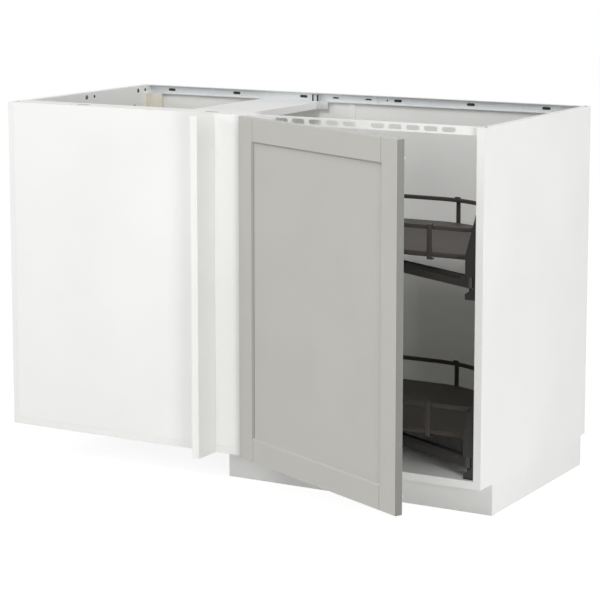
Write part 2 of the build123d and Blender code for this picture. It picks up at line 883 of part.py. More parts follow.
# Hinge arms: an eye on the pin, a neck to the right and a strip back to the post
with BuildPart() as hinge_arms:
    pin_line = facing((0, 0, 1), (1, 0, 0), pin_x, pin_y, 0)
    strip_left = stile_right + strip_gap
    for height in hinge_heights:
        tall = span(height, 2 * eye_half_height)
        rod(pin_line, eye_radius, *tall)
        neck = (pin_y - neck_front, pin_y + neck_back)
        block(cabinet, (pin_x, strip_left + strip_thickness), neck, tall)
        strip = (strip_left, strip_left + strip_thickness)
        block(cabinet, strip, (pin_y - neck_front, strip_end), tall)
        rod(pin_line, pin_radius + pin_fit, *tall, Mode.SUBTRACT)
    hinge_screws(screw_fit, Mode.SUBTRACT)
hinge_arms.part.label = "hinge_arms"
export_step(hinge_arms.part, "parts/hinge_arms.step")

with BuildPart() as hinge_plates:
    for height in hinge_heights:
        thick = (stile_right, strip_left + hinge_plate_thickness)
        long = (hinge_plate_start, hinge_plate_end)
        block(cabinet, thick, long, span(height, hinge_plate_height))
        slot = span(height, 2 * (eye_half_height + hinge_slot_fit))
        slot_long = (hinge_plate_start, strip_end + hinge_slot_fit)
        block(cabinet, (strip_left, strip_left + hinge_plate_thickness), slot_long, slot, Mode.SUBTRACT)
    hinge_screws(screw_fit, Mode.SUBTRACT)
hinge_plates.part.label = "hinge_plates"
export_step(hinge_plates.part, "parts/hinge_plates.step")

with BuildPart() as cabinet_screws:
    return_screws()
    bracket_screws()
    hinge_screws()
cabinet_screws.part.label = "cabinet_screws"
export_step(cabinet_screws.part, "parts/cabinet_screws.step")


# Trays: a kidney board with a guard rail on posts, carried by a hub near its middle
def tray_outline(face, inset=0):
    """Draws the kidney outline of a tray, or a line that runs inside it, into an open sketch."""
    right, left = tray_right - inset, tray_left + inset
    near, far, waist = tray_near + inset, tray_far - inset, lobe_near + inset
    corner, lobe, heel = tray_corner - inset, lobe_radius - inset, heel_radius - inset
    lean = atan2(lobe_near - tray_near, waist_right - waist_left)
    waist_start = waist_left + inset * tan(lean / 2)
    waist_end = waist_right + inset * tan(lean / 2)
    with BuildLine() as outline:
        CenterArc((right - corner, near + corner), corner, -90, 90)
        Line((right, near + corner), (right, bow_start))
        EllipticalCenterArc((bow_left, bow_start), right - bow_left, far - bow_start, 0, arc_size=90)
        Line((bow_left, far), (left + lobe, far))
        CenterArc((left + lobe, far - lobe), lobe, 90, 90)
        Line((left, far - lobe), (left, waist + heel))
        CenterArc((left + heel, waist + heel), heel, 180, 90)
        Polyline((left + heel, waist), (waist_start, waist), (waist_end, near), (right - corner, near))
    make_face(outline.edges())
    fillet(face.vertices().sort_by_distance((waist_start, waist))[0], waist_radius + inset)
    fillet(face.vertices().sort_by_distance((waist_end, near))[0], waist_radius - inset)


def post_planes(level):
    """Planes on the tray's edge for its posts, each with its Y outwards and its Z up."""
    places = [(tray_right - near_post_inset, tray_near, -90)]
    places.append((tray_left + far_post_inset, tray_far, 90))
    places.append((tray_left + waist_post_inset, lobe_near, -90))
    places.append((tray_left, lobe_near + heel_radius, 180))
    for angle in bow_post_degrees:
        across = (tray_right - bow_left) * cos(radians(angle))
        back = (tray_far - bow_start) * sin(radians(angle))
        slope = Vector(across / (tray_right - bow_left) ** 2, back / (tray_far - bow_start) ** 2)
        outward = slope.get_signed_angle(Vector(1, 0, 0), Vector(0, 0, -1))
        places.append((bow_left + across, bow_start + back, outward))
    planes = []
    for x, y, outward in places:
        turn = radians(outward - 90)
        planes.append(facing((0, 0, 1), (cos(turn), sin(turn), 0), x, y, level))
    return planes


for place, level in tray_levels.items():
    arm_low = level - arm_drop
    arm_high = arm_low + arm_height
    bracket_low = arm_low - arm_height

    with BuildPart() as tray_board:
        with BuildSketch(cabinet.offset(level)) as board_face:
            tray_outline(board_face)
        extrude(amount=tray_floor)
        for turn in (0, 120, 240):
            x = hub_screw_ring * cos(radians(turn))
            y = hub_screw_ring * sin(radians(turn))
            under = facing((0, 0, 1), (1, 0, 0), x, y, level, hub)
            rod(under, screw_radius + screw_fit, 0, hub_screw_length - hub_plate, Mode.SUBTRACT)
    tray_board.part.label = "tray_floor_" + place
    export_step(tray_board.part, f"parts/tray_floor_{place}.step")

    with BuildPart() as tray_guard:
        guard_low = cabinet.offset(level + guard_top - guard_height)
        with BuildSketch(guard_low) as outer_face:
            tray_outline(outer_face, guard_inset)
        extrude(amount=guard_height)
        with BuildSketch(guard_low) as inner_face:
            tray_outline(inner_face, guard_inset + guard_thickness)
        extrude(amount=guard_height, mode=Mode.SUBTRACT)
    tray_guard.part.label = "tray_guard_" + place
    export_step(tray_guard.part, f"parts/tray_guard_{place}.step")

    with BuildPart() as tray_posts:
        for post in post_planes(level):
            wide = span(0, post_width)
            block(post, wide, (0, post_thickness), (-tray_post_foot, guard_top + tray_post_cap))
            block(post, wide, (-post_width, 0), (-tray_post_foot, -tray_post_foot / 2))
            block(post, wide, (-guard_inset - guard_thickness, 0), (guard_top, guard_top + tray_post_cap))
    tray_posts.part.label = "tray_posts_" + place
    export_step(tray_posts.part, f"parts/tray_posts_{place}.step")

    with BuildPart() as tray_hub:
        rod(hub, hub_radius, level - hub_plate, level)
        rod(hub, hub_neck_radius, arm_high + hub_gap, level)
        rod(hub, hub_pin_radius + pivot_fit, arm_high + hub_gap, level - hub_plate, Mode.SUBTRACT)
        for turn in (0, 120, 240):
            x = hub_screw_ring * cos(radians(turn))
            y = hub_screw_ring * sin(radians(turn))
            under = facing((0, 0, 1), (1, 0, 0), x, y, level - hub_plate, hub)
            rod(under, screw_radius, -screw_head, hub_screw_length)
            rod(under, screw_head_radius, -screw_head, 0)
    tray_hub.part.label = "tray_hub_" + place
    export_step(tray_hub.part, f"parts/tray_hub_{place}.step")

    with BuildPart() as arm:
        rod(swing, arm_eye_radius, arm_low, arm_high)
        block(swing, (0, arm_length), span(0, arm_width), (arm_low, arm_high))
        rod(hub, arm_boss_radius, arm_low, arm_high)
        rod(swing, pivot_radius + pivot_fit, arm_low, arm_high, Mode.SUBTRACT)
        rod(hub, hub_pin_radius, arm_low, arm_high, Mode.SUBTRACT)
    arm.part.label = "arm_" + place
    export_step(arm.part, f"parts/arm_{place}.step")

    with BuildPart() as hub_pin:
        rod(hub, hub_pin_radius, arm_low, level - hub_plate - hub_pin_gap)
    hub_pin.part.label = "hub_pin_" + place
    export_step(hub_pin.part, f"parts/hub_pin_{place}.step")

    with BuildPart() as tray_bracket:
        wall = facing_front(inner_right, tray_bracket_setback + tray_bracket_depth, bracket_low)
        with BuildSketch(wall):
            with BuildLine():
                Polyline(
                    (0, 0),
                    (-tray_bracket_out, 0),
                    (-tray_bracket_out, tray_bracket_foot),
                    (-tray_bracket_waist, tray_bracket_slant),
                    (-tray_bracket_web, arm_height - arm_end_gap),
                    (-tray_bracket_web, 2 * arm_height + arm_end_gap),
                    (-tray_bracket_out, 2 * arm_height + arm_end_gap),
                    (-tray_bracket_out, tray_bracket_full),
                    (-tray_bracket_tip, tray_bracket_height),
                    (0, tray_bracket_height),
                    close=True,
                )
            make_face()
        extrude(amount=tray_bracket_depth)
        pivot_bottom = bracket_low + pivot_end
        pivot_top = arm_high + arm_end_gap + pivot_end
        pivot_line = facing((0, 0, 1), (1, 0, 0), pivot_x, pivot_setback, 0)
        rod(pivot_line, pivot_radius + dowel_fit, pivot_bottom, pivot_top, Mode.SUBTRACT)
        bracket_screws(screw_fit, Mode.SUBTRACT)
        for share in bracket_screw_shares:
            height = bracket_low + tray_bracket_height * share
            middle = tray_bracket_setback + tray_bracket_depth / 2
            seat = facing_left(inner_right - bracket_screw_seat, middle, height)
            rod(seat, screw_head_radius + screw_fit, 0, tray_bracket_out, Mode.SUBTRACT)
    tray_bracket.part.label = "tray_bracket_" + place
    export_step(tray_bracket.part, f"parts/tray_bracket_{place}.step")

with BuildPart() as arm_pivot_pins:
    for level in tray_levels.values():
        bracket_low = level - arm_drop - arm_height
        pivot_top = level - arm_drop + arm_height + arm_end_gap + pivot_end
        rod(pivot_line, pivot_radius, bracket_low + pivot_end, pivot_top)
arm_pivot_pins.part.label = "arm_pivot_pins"
export_step(arm_pivot_pins.part, "parts/arm_pivot_pins.step")
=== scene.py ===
# %% [markdown]
# # A corner base cabinet with two swing-out trays
#
# The cabinet is white foil-covered board on legs, open at the top because a worktop will close it.
# Its left half hides in the corner of a kitchen behind a blind panel, and its right half has a
# grey framed door that stands ajar. Behind the door two kidney-shaped trays ride on steel arms.
# The solids come from a CAD model. This script dresses them: every solid gets a finish, and finer
# pieces take the place of the plain ones.

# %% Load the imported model
import json
import math

import bmesh
import bpy
import numpy as np
from mathutils import Matrix, Vector


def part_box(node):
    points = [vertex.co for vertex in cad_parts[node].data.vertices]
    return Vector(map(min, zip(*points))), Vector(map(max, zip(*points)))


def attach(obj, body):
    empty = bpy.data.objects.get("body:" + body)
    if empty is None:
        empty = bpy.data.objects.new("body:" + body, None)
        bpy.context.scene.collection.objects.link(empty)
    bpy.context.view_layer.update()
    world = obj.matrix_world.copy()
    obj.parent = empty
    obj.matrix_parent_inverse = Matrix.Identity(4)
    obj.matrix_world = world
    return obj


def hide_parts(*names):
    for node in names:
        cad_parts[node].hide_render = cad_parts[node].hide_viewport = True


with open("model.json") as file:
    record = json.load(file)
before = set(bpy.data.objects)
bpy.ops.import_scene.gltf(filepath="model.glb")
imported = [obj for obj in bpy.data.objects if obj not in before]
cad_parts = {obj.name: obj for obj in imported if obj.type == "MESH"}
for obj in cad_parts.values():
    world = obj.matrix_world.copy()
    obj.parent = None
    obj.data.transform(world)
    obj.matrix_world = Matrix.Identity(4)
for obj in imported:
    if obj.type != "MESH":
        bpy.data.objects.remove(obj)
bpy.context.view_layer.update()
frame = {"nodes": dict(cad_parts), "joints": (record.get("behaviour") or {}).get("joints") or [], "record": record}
nodes = frame["nodes"]

# %% [markdown]
# ## Millimetres
#
# A cabinet maker counts in millimetres and Blender in metres. Sizes could be typed in metres, with
# many zeros. Here they are millimetres, and become metres only when points go into a mesh. Places
# are read from the solids where that is possible, so a piece always sits on what carries it.

# %% Millimetres
MM = 0.001


def box_mm(node_name):
    """The lowest and the highest corner of a solid, in millimetres."""
    return [np.array(corner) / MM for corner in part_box(node_name)]


side_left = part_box("side_panel_left")
side_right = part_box("side_panel_right")
left_face = side_left[0].x
front_plane = side_left[0].y
sizes = side_right[1] - side_left[0]
print("width, depth and height in mm:", [round(size / MM) for size in sizes])

# %% [markdown]
# ## The camera
#
# A long lens far away, to the right of the cabinet and half a metre above its top. The photograph
# was taken with a lens shifted far down, which keeps the uprights parallel. The other views share
# this camera, and so large a shift would push the cabinet out of their frame. So a small part of
# it is kept and the camera looks down instead: the uprights lean together by half a degree. Place,
# turn, tilt and lens bring the carcass's corners closest to the picture's, most of them within
# four pixels.

# %% The camera
IMAGE = 600
SENSOR = 36
FOCAL_PIXELS = 2153.4
SHIFT_PIXELS = -90
TURN = math.radians(29.6979)
TILT = math.radians(-8.0765)
EYE = (3208.9, -4190.5, 1356.0)
FARTHEST = 100

level = math.cos(TILT)
forward = Vector((-math.sin(TURN) * level, math.cos(TURN) * level, math.sin(TILT)))
rightward = Vector((math.cos(TURN), math.sin(TURN), 0))
upward = rightward.cross(forward)
eye = Vector((left_face + EYE[0] * MM, front_plane + EYE[1] * MM, EYE[2] * MM))
camera_data = bpy.data.cameras.new("camera")
camera_data.sensor_width = SENSOR
camera_data.lens = FOCAL_PIXELS * SENSOR / IMAGE
camera_data.shift_y = SHIFT_PIXELS / IMAGE
camera_data.clip_end = FARTHEST
camera = bpy.data.objects.new("camera", camera_data)
bpy.context.scene.collection.objects.link(camera)
axes = Matrix((rightward, upward, -forward)).transposed().to_4x4()
camera.matrix_world = Matrix.Translation(eye) @ axes
bpy.context.scene.camera = camera
print("lens in mm:", round(camera_data.lens, 1))


# %% [markdown]
# ## A small language for finishes
#
# A material in Blender is a tree of nodes. Writing every node by hand is long, so one class wraps
# a socket and lets Python's own signs add the Math nodes: `1 - mask` is then a node too. Anything
# that isn't plain arithmetic comes from one method, `add`, which takes a node's type, its settings
# and its inputs. The settings come first, because they decide which inputs a node has.

# %% Sockets that do arithmetic
class Signal:
    """One output socket of a node, with Python's signs on it, also after a number, as in 1 - it."""

    def __init__(self, graph, socket):
        self.graph = graph
        self.socket = socket

    def maths(self, operation, first, second):
        """A Math node on two values, each a signal or a number."""
        return self.graph.add("ShaderNodeMath", {"operation": operation}, {0: first, 1: second})

    def __add__(self, other):
        return self.maths("ADD", self, other)

    def __sub__(self, other):
        return self.maths("SUBTRACT", self, other)

    def __rsub__(self, other):
        return self.maths("SUBTRACT", other, self)

    def __mul__(self, other):
        return self.maths("MULTIPLY", self, other)

    def __gt__(self, other):
        return self.maths("GREATER_THAN", self, other)

    def __lt__(self, other):
        return self.maths("LESS_THAN", self, other)

    __radd__ = __add__  # a sum and a product are the same either way round
    __rmul__ = __mul__


# %% A tree of nodes
class Graph:
    """A tree of shader nodes, with the one method that adds to it."""

    def __init__(self, tree):
        self.tree = tree

    def feed(self, socket, value):
        """Links a signal to a socket, or sets the socket to a plain value."""
        if isinstance(value, Signal):
            self.tree.links.new(value.socket, socket)
        else:
            socket.default_value = value

    def add(self, kind, settings=None, inputs=None, output=0):
        """Adds a node of a type, sets its settings, then its inputs, and returns one output."""
        node = self.tree.nodes.new(kind)
        for setting, value in (settings or {}).items():
            setattr(node, setting, value)
        for key, value in (inputs or {}).items():
            self.feed(node.inputs[key], value)
        return Signal(self, node.outputs[output])

    def seen(self):
        """1 for the camera's rays, direct, mirrored or through glass, and 0 for bounced light."""
        kinds = ("Camera", "Glossy", "Transmission")
        rays = [self.add("ShaderNodeLightPath", output=f"Is {kind} Ray") for kind in kinds]
        return (rays[0] + rays[1] + rays[2]) > 0.5


# %% A material under construction
class Finish(Graph):
    """A material under construction: its tree, its shader and the place that its patterns read."""

    def __init__(self, name):
        self.name = name
        self.material = bpy.data.materials.new(name)
        self.material.use_nodes = True
        super().__init__(self.material.node_tree)
        self.shader = self.tree.nodes["Principled BSDF"]
        self.place = self.add("ShaderNodeTexCoord", output="Object")

    def set(self, **values):
        """Sets the shader's sockets: base_color is Base Color."""
        for key, value in values.items():
            socket_name = key.replace("_", " ").title().replace("Ior", "IOR")
            self.feed(self.shader.inputs[socket_name], value)

    def stretched(self, x, y, z):
        """The object's coordinates multiplied by one factor on each axis."""
        inputs = {"Vector": self.place, "Scale": Vector((x, y, z))}
        return self.add("ShaderNodeMapping", None, inputs)

    def noise(self, scale, detail, vector=None):
        """Cloudy noise from 0 to 1. The scale is in clouds per metre."""
        inputs = {"Vector": vector or self.place, "Scale": scale, "Detail": detail}
        return self.add("ShaderNodeTexNoise", None, inputs)

    def cells(self, scale, output):
        """Distances to, or colours of, scattered points. The scale is in points per metre."""
        inputs = {"Vector": self.place, "Scale": scale}
        return self.add("ShaderNodeTexVoronoi", None, inputs, output)

    def between(self, signal, low_in, high_in, low_out=0.0, high_out=1.0):
        """Carries a range of the signal to another range and holds it there."""
        inputs = {0: signal, 1: low_in, 2: high_in, 3: low_out, 4: high_out}
        return self.add("ShaderNodeMapRange", {"interpolation_type": "SMOOTHSTEP"}, inputs)

    def blend(self, share, first, second):
        """Mixes two colours by a share from 0 to 1."""
        inputs = {0: share, 6: first, 7: second}
        return self.add("ShaderNodeMix", {"data_type": "RGBA"}, inputs, 2)

    def relief(self, height, distance, strength=0.5):
        """Turns a height, in shares of a distance in metres, into a bumped normal."""
        inputs = {"Height": height, "Distance": distance, "Strength": strength}
        return self.add("ShaderNodeBump", None, inputs)

    def grained(self, colour, grain, gloss, distance, strength=0.5, spread=(0.3, 0.7)):
        """Sets the colour, and lets one fine grain steer both the roughness and the relief."""
        self.set(base_color=colour, roughness=self.between(grain, *spread, *gloss))
        self.set(normal=self.relief(grain, distance, strength))


# %% [markdown]
# ## Colours
#
# A colour in the picture is three numbers from 0 to 255 as a screen shows them, and Blender counts
# light in shares of 1. Typed straight in, every colour would come out too pale. The screen's curve
# is undone here, so a tone of the picture can be written as it is read.

# %% Tones
def tone(red, green=None, blue=None):
    """A colour from display values of 0 to 255, made linear as Blender wants it."""
    green = red if green is None else green
    blue = green if blue is None else blue
    shares = np.array([red, green, blue]) / 255
    linear = np.where(shares <= 0.04045, shares / 12.92, ((shares + 0.055) / 1.055) ** 2.4)
    return (*(float(share) for share in linear), 1.0)


print("white foil in linear light:", [round(share, 3) for share in tone(240)[:3]])

# %% [markdown]
# ## The sky
#
# The picture is a plain studio with a white background. A backdrop could be built, but it would
# throw its own light. So the world shows white to the camera and to mirrored rays, and lights the
# object with a weaker white. The view transform is Standard, so that a colour renders about as it
# is written.

# %% The sky
SKY_LIGHT = 0.41
WHITE = (1, 1, 1, 1)
bpy.context.scene.view_settings.view_transform = "Standard"
world = bpy.data.worlds.new("studio")
bpy.context.scene.world = world
world.use_nodes = True
world.node_tree.nodes.remove(world.node_tree.nodes["Background"])
sky = Graph(world.node_tree)
sky_lit = sky.add("ShaderNodeBackground", None, {"Color": WHITE, "Strength": SKY_LIGHT})
sky_shown = sky.add("ShaderNodeBackground", None, {"Color": WHITE, "Strength": 1.0})
sky_choice = sky.add("ShaderNodeMixShader", None, {0: sky.seen(), 1: sky_lit, 2: sky_shown})
sky.feed(sky.tree.nodes["World Output"].inputs["Surface"], sky_choice)
print("sky nodes:", len(sky.tree.nodes))

# %% [markdown]
# ## The lamps
#
# The blind front, the right side and the plinth's side are near white in the picture, and the
# inside is bright at the top and dark below the upper tray. So one soft lamp hangs high in front,
# one stands at the left, one low at the right front and one at the right. Powers could be tried by
# eye. Each lamp was rendered alone instead, and its power follows from how bright each face should
# be.

# %% The lamps
LAMPS = {  # the lamp's place and aim in metres, its width in metres and its power in watts
    "key_left": ((-4.4, -3.4, 2.6), (-0.1, 0, 0.5), 2.2, 66),
    "low_right": ((3.9, -3.6, 0.8), (0, 0, 0.4), 1.4, 66),
    "right": ((4.8, 0.2, 1.6), (0.6, 0, 0.5), 2.2, 47),
    "high_front": ((0.4, -2.6, 4.0), (0.2, 0, 0.5), 2.2, 75),
}
for lamp_name, (place, aim, size, power) in LAMPS.items():
    lamp = bpy.data.lights.new(lamp_name, "AREA")
    lamp.size = size
    lamp.energy = power
    lamp_object = bpy.data.objects.new(lamp_name, lamp)
    bpy.context.scene.collection.objects.link(lamp_object)
    way = (Vector(aim) - Vector(place)).to_track_quat("-Z", "Y").to_matrix().to_4x4()
    lamp_object.matrix_world = Matrix.Translation(Vector(place)) @ way
print("lamps:", len(LAMPS))

# %% [markdown]
# ## The floor
#
# The floor is a large pale sheet that the picture shows as white, with hardly any shadow. A
# brighter lamp would bleach the cabinet too. So the floor glows a little, but only for the rays
# that the camera sees, and for bounced light it is a plain pale surface. It still takes the
# cabinet's shadow.

# %% The floor
FLOOR_REACH = 14.0
FLOOR_GLOW = 0.87
floor_mesh = bpy.data.meshes.new("floor")
corners = np.array([[-1, -1, 0], [1, -1, 0], [1, 1, 0], [-1, 1, 0]]) * FLOOR_REACH
floor_mesh.from_pydata(corners.tolist(), [], [[0, 1, 2, 3]])
floor = bpy.data.objects.new("floor", floor_mesh)
bpy.context.scene.collection.objects.link(floor)
floor_finish = Finish("pale_floor")
floor_seen = floor_finish.seen()
glow = floor_finish.blend(floor_seen, (0, 0, 0, 1), (FLOOR_GLOW, FLOOR_GLOW, FLOOR_GLOW, 1))
floor_finish.set(base_color=floor_finish.blend(floor_seen, tone(226), tone(150)), roughness=0.95)
floor_finish.set(emission_color=glow, emission_strength=1.0, specular_ior_level=0.0)
floor_mesh.materials.append(floor_finish.material)
print("floor reach in m:", FLOOR_REACH)

# %% [markdown]
# ## White foil
#
# The carcass is chipboard in melamine foil: nearly white, satin, with faint clouds and a fine
# grain pressed into it. A flat white would do from afar, but not close up. Here two white tones
# drift in wide clouds, and one fine noise makes both the grain and its uneven gloss. All finishes
# read the object's own coordinates in metres, so their patterns ride with a piece when it moves.

# %% White foil
finishes = {}


def keep(finish):
    """Keeps a finish by its name, and tells how many nodes it took."""
    finishes[finish.name] = finish.material
    print(finish.name, "nodes:", len(finish.tree.nodes))
    return finish.material


def white_foil(name):
    """The foil's finish and its colour, so that a drilled board can paint its holes' shade into it."""
    finish = Finish(name)
    cloud = finish.between(finish.noise(3.0, 3), 0.3, 0.7)
    colour = finish.blend(cloud, tone(239, 239, 237), tone(243, 243, 241))
    finish.grained(colour, finish.noise(900.0, 2), (0.48, 0.56), 0.00012)
    finish.set(specular_ior_level=0.3)
    return finish, colour


keep(white_foil("white_foil")[0])

# %% [markdown]
# ## Door paint
#
# The door is sprayed with a warm light grey lacquer. Sprayed paint dries with a soft orange peel,
# small shallow dimples that break up its reflections. They could be modelled, but they are far too
# many. A noise of some 400 dimples a metre is near their real size, and it steers the gloss too.

# %% Door paint
paint = Finish("door_paint")
cloud = paint.between(paint.noise(5.0, 3), 0.3, 0.7)
colour = paint.blend(cloud, tone(183, 182, 177), tone(186, 185, 180))
paint.grained(colour, paint.noise(420.0, 1), (0.4, 0.48), 0.00015)
paint.set(specular_ior_level=0.35)
keep(paint)

# %% [markdown]
# ## Tray board
#
# The trays are board in a dark brown foil with a fine leathery grain. Leather grain is a net of
# small cells, and noise looks too soft for it. The Voronoi texture gives the distance to scattered
# points, which is just such a net: high on the seams between the cells and low in their middles.

# %% Tray board
leathery = Finish("tray_board")
colour = leathery.blend(leathery.noise(9.0, 3), tone(62, 57, 53), tone(70, 65, 60))
net = leathery.cells(620.0, "Distance")
leathery.grained(colour, net, (0.66, 0.54), 0.0002, 0.35, spread=(0.1, 0.6))
leathery.set(specular_ior_level=0.3)
keep(leathery)


# %% [markdown]
# ## Powder coat and moulded skins
#
# Powder coat on steel and moulded plastic look alike close up: an even colour with a skin like
# fine sand. Each could be a finish written out in full. They differ only in their tones, in how
# fine the sand is and in how glossy it is, so one function makes them all: the coats of the trays,
# arms, wall brackets and slotted rail, the grey nylon of small fittings, and the black plastic of
# legs and clips.

# %% Sandy skins
def sandy(name, dark, light, cloud, sand, gloss, distance):
    """Two tones in clouds and a sandy skin. Cloud and sand are a noise's scale and detail."""
    finish = Finish(name)
    colour = finish.blend(finish.noise(*cloud), dark, light)
    finish.grained(colour, finish.noise(*sand), gloss, distance)
    return keep(finish)


coat = {"cloud": (14.0, 2), "sand": (1400.0, 2), "gloss": (0.42, 0.56), "distance": 0.0002}
sandy("tray_brown", tone(55, 52, 49), tone(63, 59, 55), **coat)
bracket_finish = sandy("bracket_brown", tone(34, 33, 32), tone(41, 39, 38), **coat)
white = tone(240, 241, 238), tone(244, 244, 242)
grey = tone(118, 120, 121), tone(132, 134, 134)
black = tone(34, 34, 35), tone(42, 42, 43)
sandy("white_steel", *white, (12.0, 2), (1100.0, 2), (0.36, 0.46), 0.00012)
sandy("grey_nylon", *grey, (30.0, 2), (1600.0, 1), (0.4, 0.52), 0.0001)
sandy("dark_plastic", *black, (25.0, 2), (1500.0, 2), (0.45, 0.6), 0.00015)

# %% [markdown]
# ## Galvanised steel
#
# The wall rails are strip steel with a skin of zinc. Zinc sets in crystals of several greys, and
# rolling leaves fine lines along the strip. The crystals are Voronoi cells, each of one grey, and
# the lines are a noise squeezed forty times across the strip. The steel is only partly metallic,
# because a full metal would mirror the white room and lose its grey.

# %% Galvanised steel
zinc = Finish("galvanised_steel")
crystals = zinc.add("ShaderNodeSeparateColor", None, {0: zinc.cells(95.0, "Color")})
lines = zinc.noise(60.0, 2, zinc.stretched(1, 40, 40))
shade = crystals * 0.35 + lines * 0.65
colour = zinc.blend(shade, tone(212, 215, 217), tone(223, 225, 226))
zinc.set(base_color=colour, metallic=0.4, roughness=zinc.between(shade, 0.2, 0.8, 0.42, 0.5))
zinc.set(normal=zinc.relief(lines, 0.00006))
keep(zinc)

# %% [markdown]
# ## Raw batten
#
# The batten in the back corner is unpainted pale wood with upright grain, which shows beside the
# white panels. A Wave texture could draw the grain, but too evenly. So two noises, a wide one for
# the rings and a fine one for the pores, are squeezed across it and drawn out along it. Only the
# pores are cut into the surface.

# %% Raw batten
batten = Finish("raw_batten")
rings = batten.between(batten.noise(24.0, 4, batten.stretched(9, 9, 0.5)), 0.35, 0.65)
pores = batten.noise(260.0, 2, batten.stretched(6, 6, 0.15))
wood = batten.blend(rings, tone(242, 238, 226), tone(234, 229, 214))
wood = batten.blend(batten.between(pores, 0.55, 0.75, 0, 0.3), wood, tone(176, 160, 132))
batten.set(base_color=wood, roughness=0.7, normal=batten.relief(pores, 0.0003, 0.4))
keep(batten)

# %% [markdown]
# ## Soft bumper
#
# Two dots of soft clear plastic quiet the door where it shuts. Real glass-like plastic would need
# see-through nodes, which cost time for so small a thing. A milky light grey with a smooth skin
# looks the same at this size.

# %% Soft bumper
bumper = Finish("soft_bumper")
milk = bumper.noise(300.0, 2)
bumper.set(base_color=bumper.blend(milk, tone(214, 216, 214), tone(226, 227, 225)))
bumper.set(roughness=bumper.between(milk, 0.3, 0.7, 0.22, 0.3))
keep(bumper)

# %% [markdown]
# ## Nickel-plated steel
#
# Hinges and screws are plated: bright metal with faint polishing marks. A metal's colour is its
# Base Color with Metallic at 1, and an even roughness would make it look like chrome. So a noise
# squeezed along one axis breaks up its highlights in one direction, as polishing does.

# %% Nickel-plated steel
nickel = Finish("nickel_steel")
marks = nickel.noise(240.0, 3, nickel.stretched(1, 12, 1))
colour = nickel.blend(marks, tone(196, 195, 190), tone(214, 213, 208))
nickel.grained(colour, marks, (0.22, 0.36), 0.00004, 0.4)
nickel.set(metallic=1.0)
keep(nickel)

# %% [markdown]
# ## Dressing the solids
#
# The record names a material slot for each solid, such as white_foil. Each solid could be given
# its finish by hand. A look-up does all of them, so none is forgotten.

# %% Dressing the solids
slot_of_node = {part["node"]: part["material_slot"] for part in frame["record"]["subparts"]}
for node_name, node in nodes.items():
    node.data.materials.clear()
    node.data.materials.append(finishes[slot_of_node[node_name]])
print("dressed solids:", len(slot_of_node))

# %% [markdown]
# ## Eased edges
#
# Real boards and pressed steel have no knife edges: an edge band is rounded by half a millimetre
# or more, and that small round catches the light. The CAD solids are sharp. A modifier can round
# them, but it needs clean faces. So a copy of the solid's mesh is merged, its flat triangles are
# dissolved into faces, and only the long sharp edges are marked for the Bevel modifier. Screw
# holes and other small rims stay as they are.

# %% Copies with soft edges
MERGE_DISTANCE = 1e-6
FLAT_ANGLE = math.radians(0.5)
SHARP_ANGLE = math.radians(40)
BEVEL_SEGMENTS = 3


def mesh_points(mesh):
    """The points of a mesh as one array, in metres."""
    points = np.empty(len(mesh.vertices) * 3, np.float32)
    mesh.vertices.foreach_get("co", points)
    return points.reshape(-1, 3)


def eased(node_name, body, radius, shortest=25.0, smooth=False):
    """A copy of a solid with its sharp edges above the shortest rounded by a radius, in mm."""
    mesh = nodes[node_name].data.copy()
    work = bmesh.new()
    work.from_mesh(mesh)
    bmesh.ops.remove_doubles(work, verts=work.verts, dist=MERGE_DISTANCE)
    bmesh.ops.dissolve_limit(work, angle_limit=FLAT_ANGLE, verts=work.verts, edges=work.edges)
    work.to_mesh(mesh)
    work.free()
    points = mesh_points(mesh)
    ends = np.empty(len(mesh.edges) * 2, np.int32)
    mesh.edges.foreach_get("vertices", ends)
    run = points[ends[0::2]] - points[ends[1::2]]
    long_enough = np.linalg.norm(run, axis=1) > shortest * MM
    mesh.set_sharp_from_angle(angle=SHARP_ANGLE)
    sharp = np.zeros(len(mesh.edges), bool)
    mesh.attributes["sharp_edge"].data.foreach_get("value", sharp)
    weights = mesh.attributes.new("bevel_weight_edge", "FLOAT", "EDGE")
    weights.data.foreach_set("value", (sharp & long_enough).astype(np.float32))
    mesh.polygons.foreach_set("use_smooth", np.full(len(mesh.polygons), smooth))
    piece = bpy.data.objects.new(node_name + "_eased", mesh)
    bpy.context.scene.collection.objects.link(piece)
    bevel = piece.modifiers.new("round", "BEVEL")
    bevel.limit_method = "WEIGHT"
    bevel.width = radius * MM
    bevel.segments = BEVEL_SEGMENTS
    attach(piece, body)
    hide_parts(node_name)
    return piece


print("rounds are made in steps:", BEVEL_SEGMENTS)

# %% [markdown]
# ## Boards and their edge bands
#
# The panels' narrow front edges are banded with a plastic strip. Its finish is a shade greyer
# than the foil on their faces, and the greyer tone is painted shade, for the shade that the ajar
# door casts on the front edges. The strip could be a thin piece of its own, but it lies flush with
# the board. So it is a second finish on the faces that look to the front or back. Faint streaks
# along it stand for the glue line.

# %% Edge band
SAME_WAY = 0.98
edge_band_and_shade = Finish("edge_band_and_shade")
streaks = edge_band_and_shade.noise(70.0, 3, edge_band_and_shade.stretched(1, 1, 0.2))
# The greyer tones are painted shade for the panels' front edges.
colour = edge_band_and_shade.blend(streaks, tone(236, 236, 234), tone(240, 240, 238))
edge_band_and_shade.set(base_color=colour, roughness=edge_band_and_shade.between(streaks, 0.3, 0.7, 0.42, 0.5))
edge_band_and_shade.set(normal=edge_band_and_shade.relief(edge_band_and_shade.noise(700.0, 1), 0.00008, 0.4))
edge_band_shade_finish = keep(edge_band_and_shade)


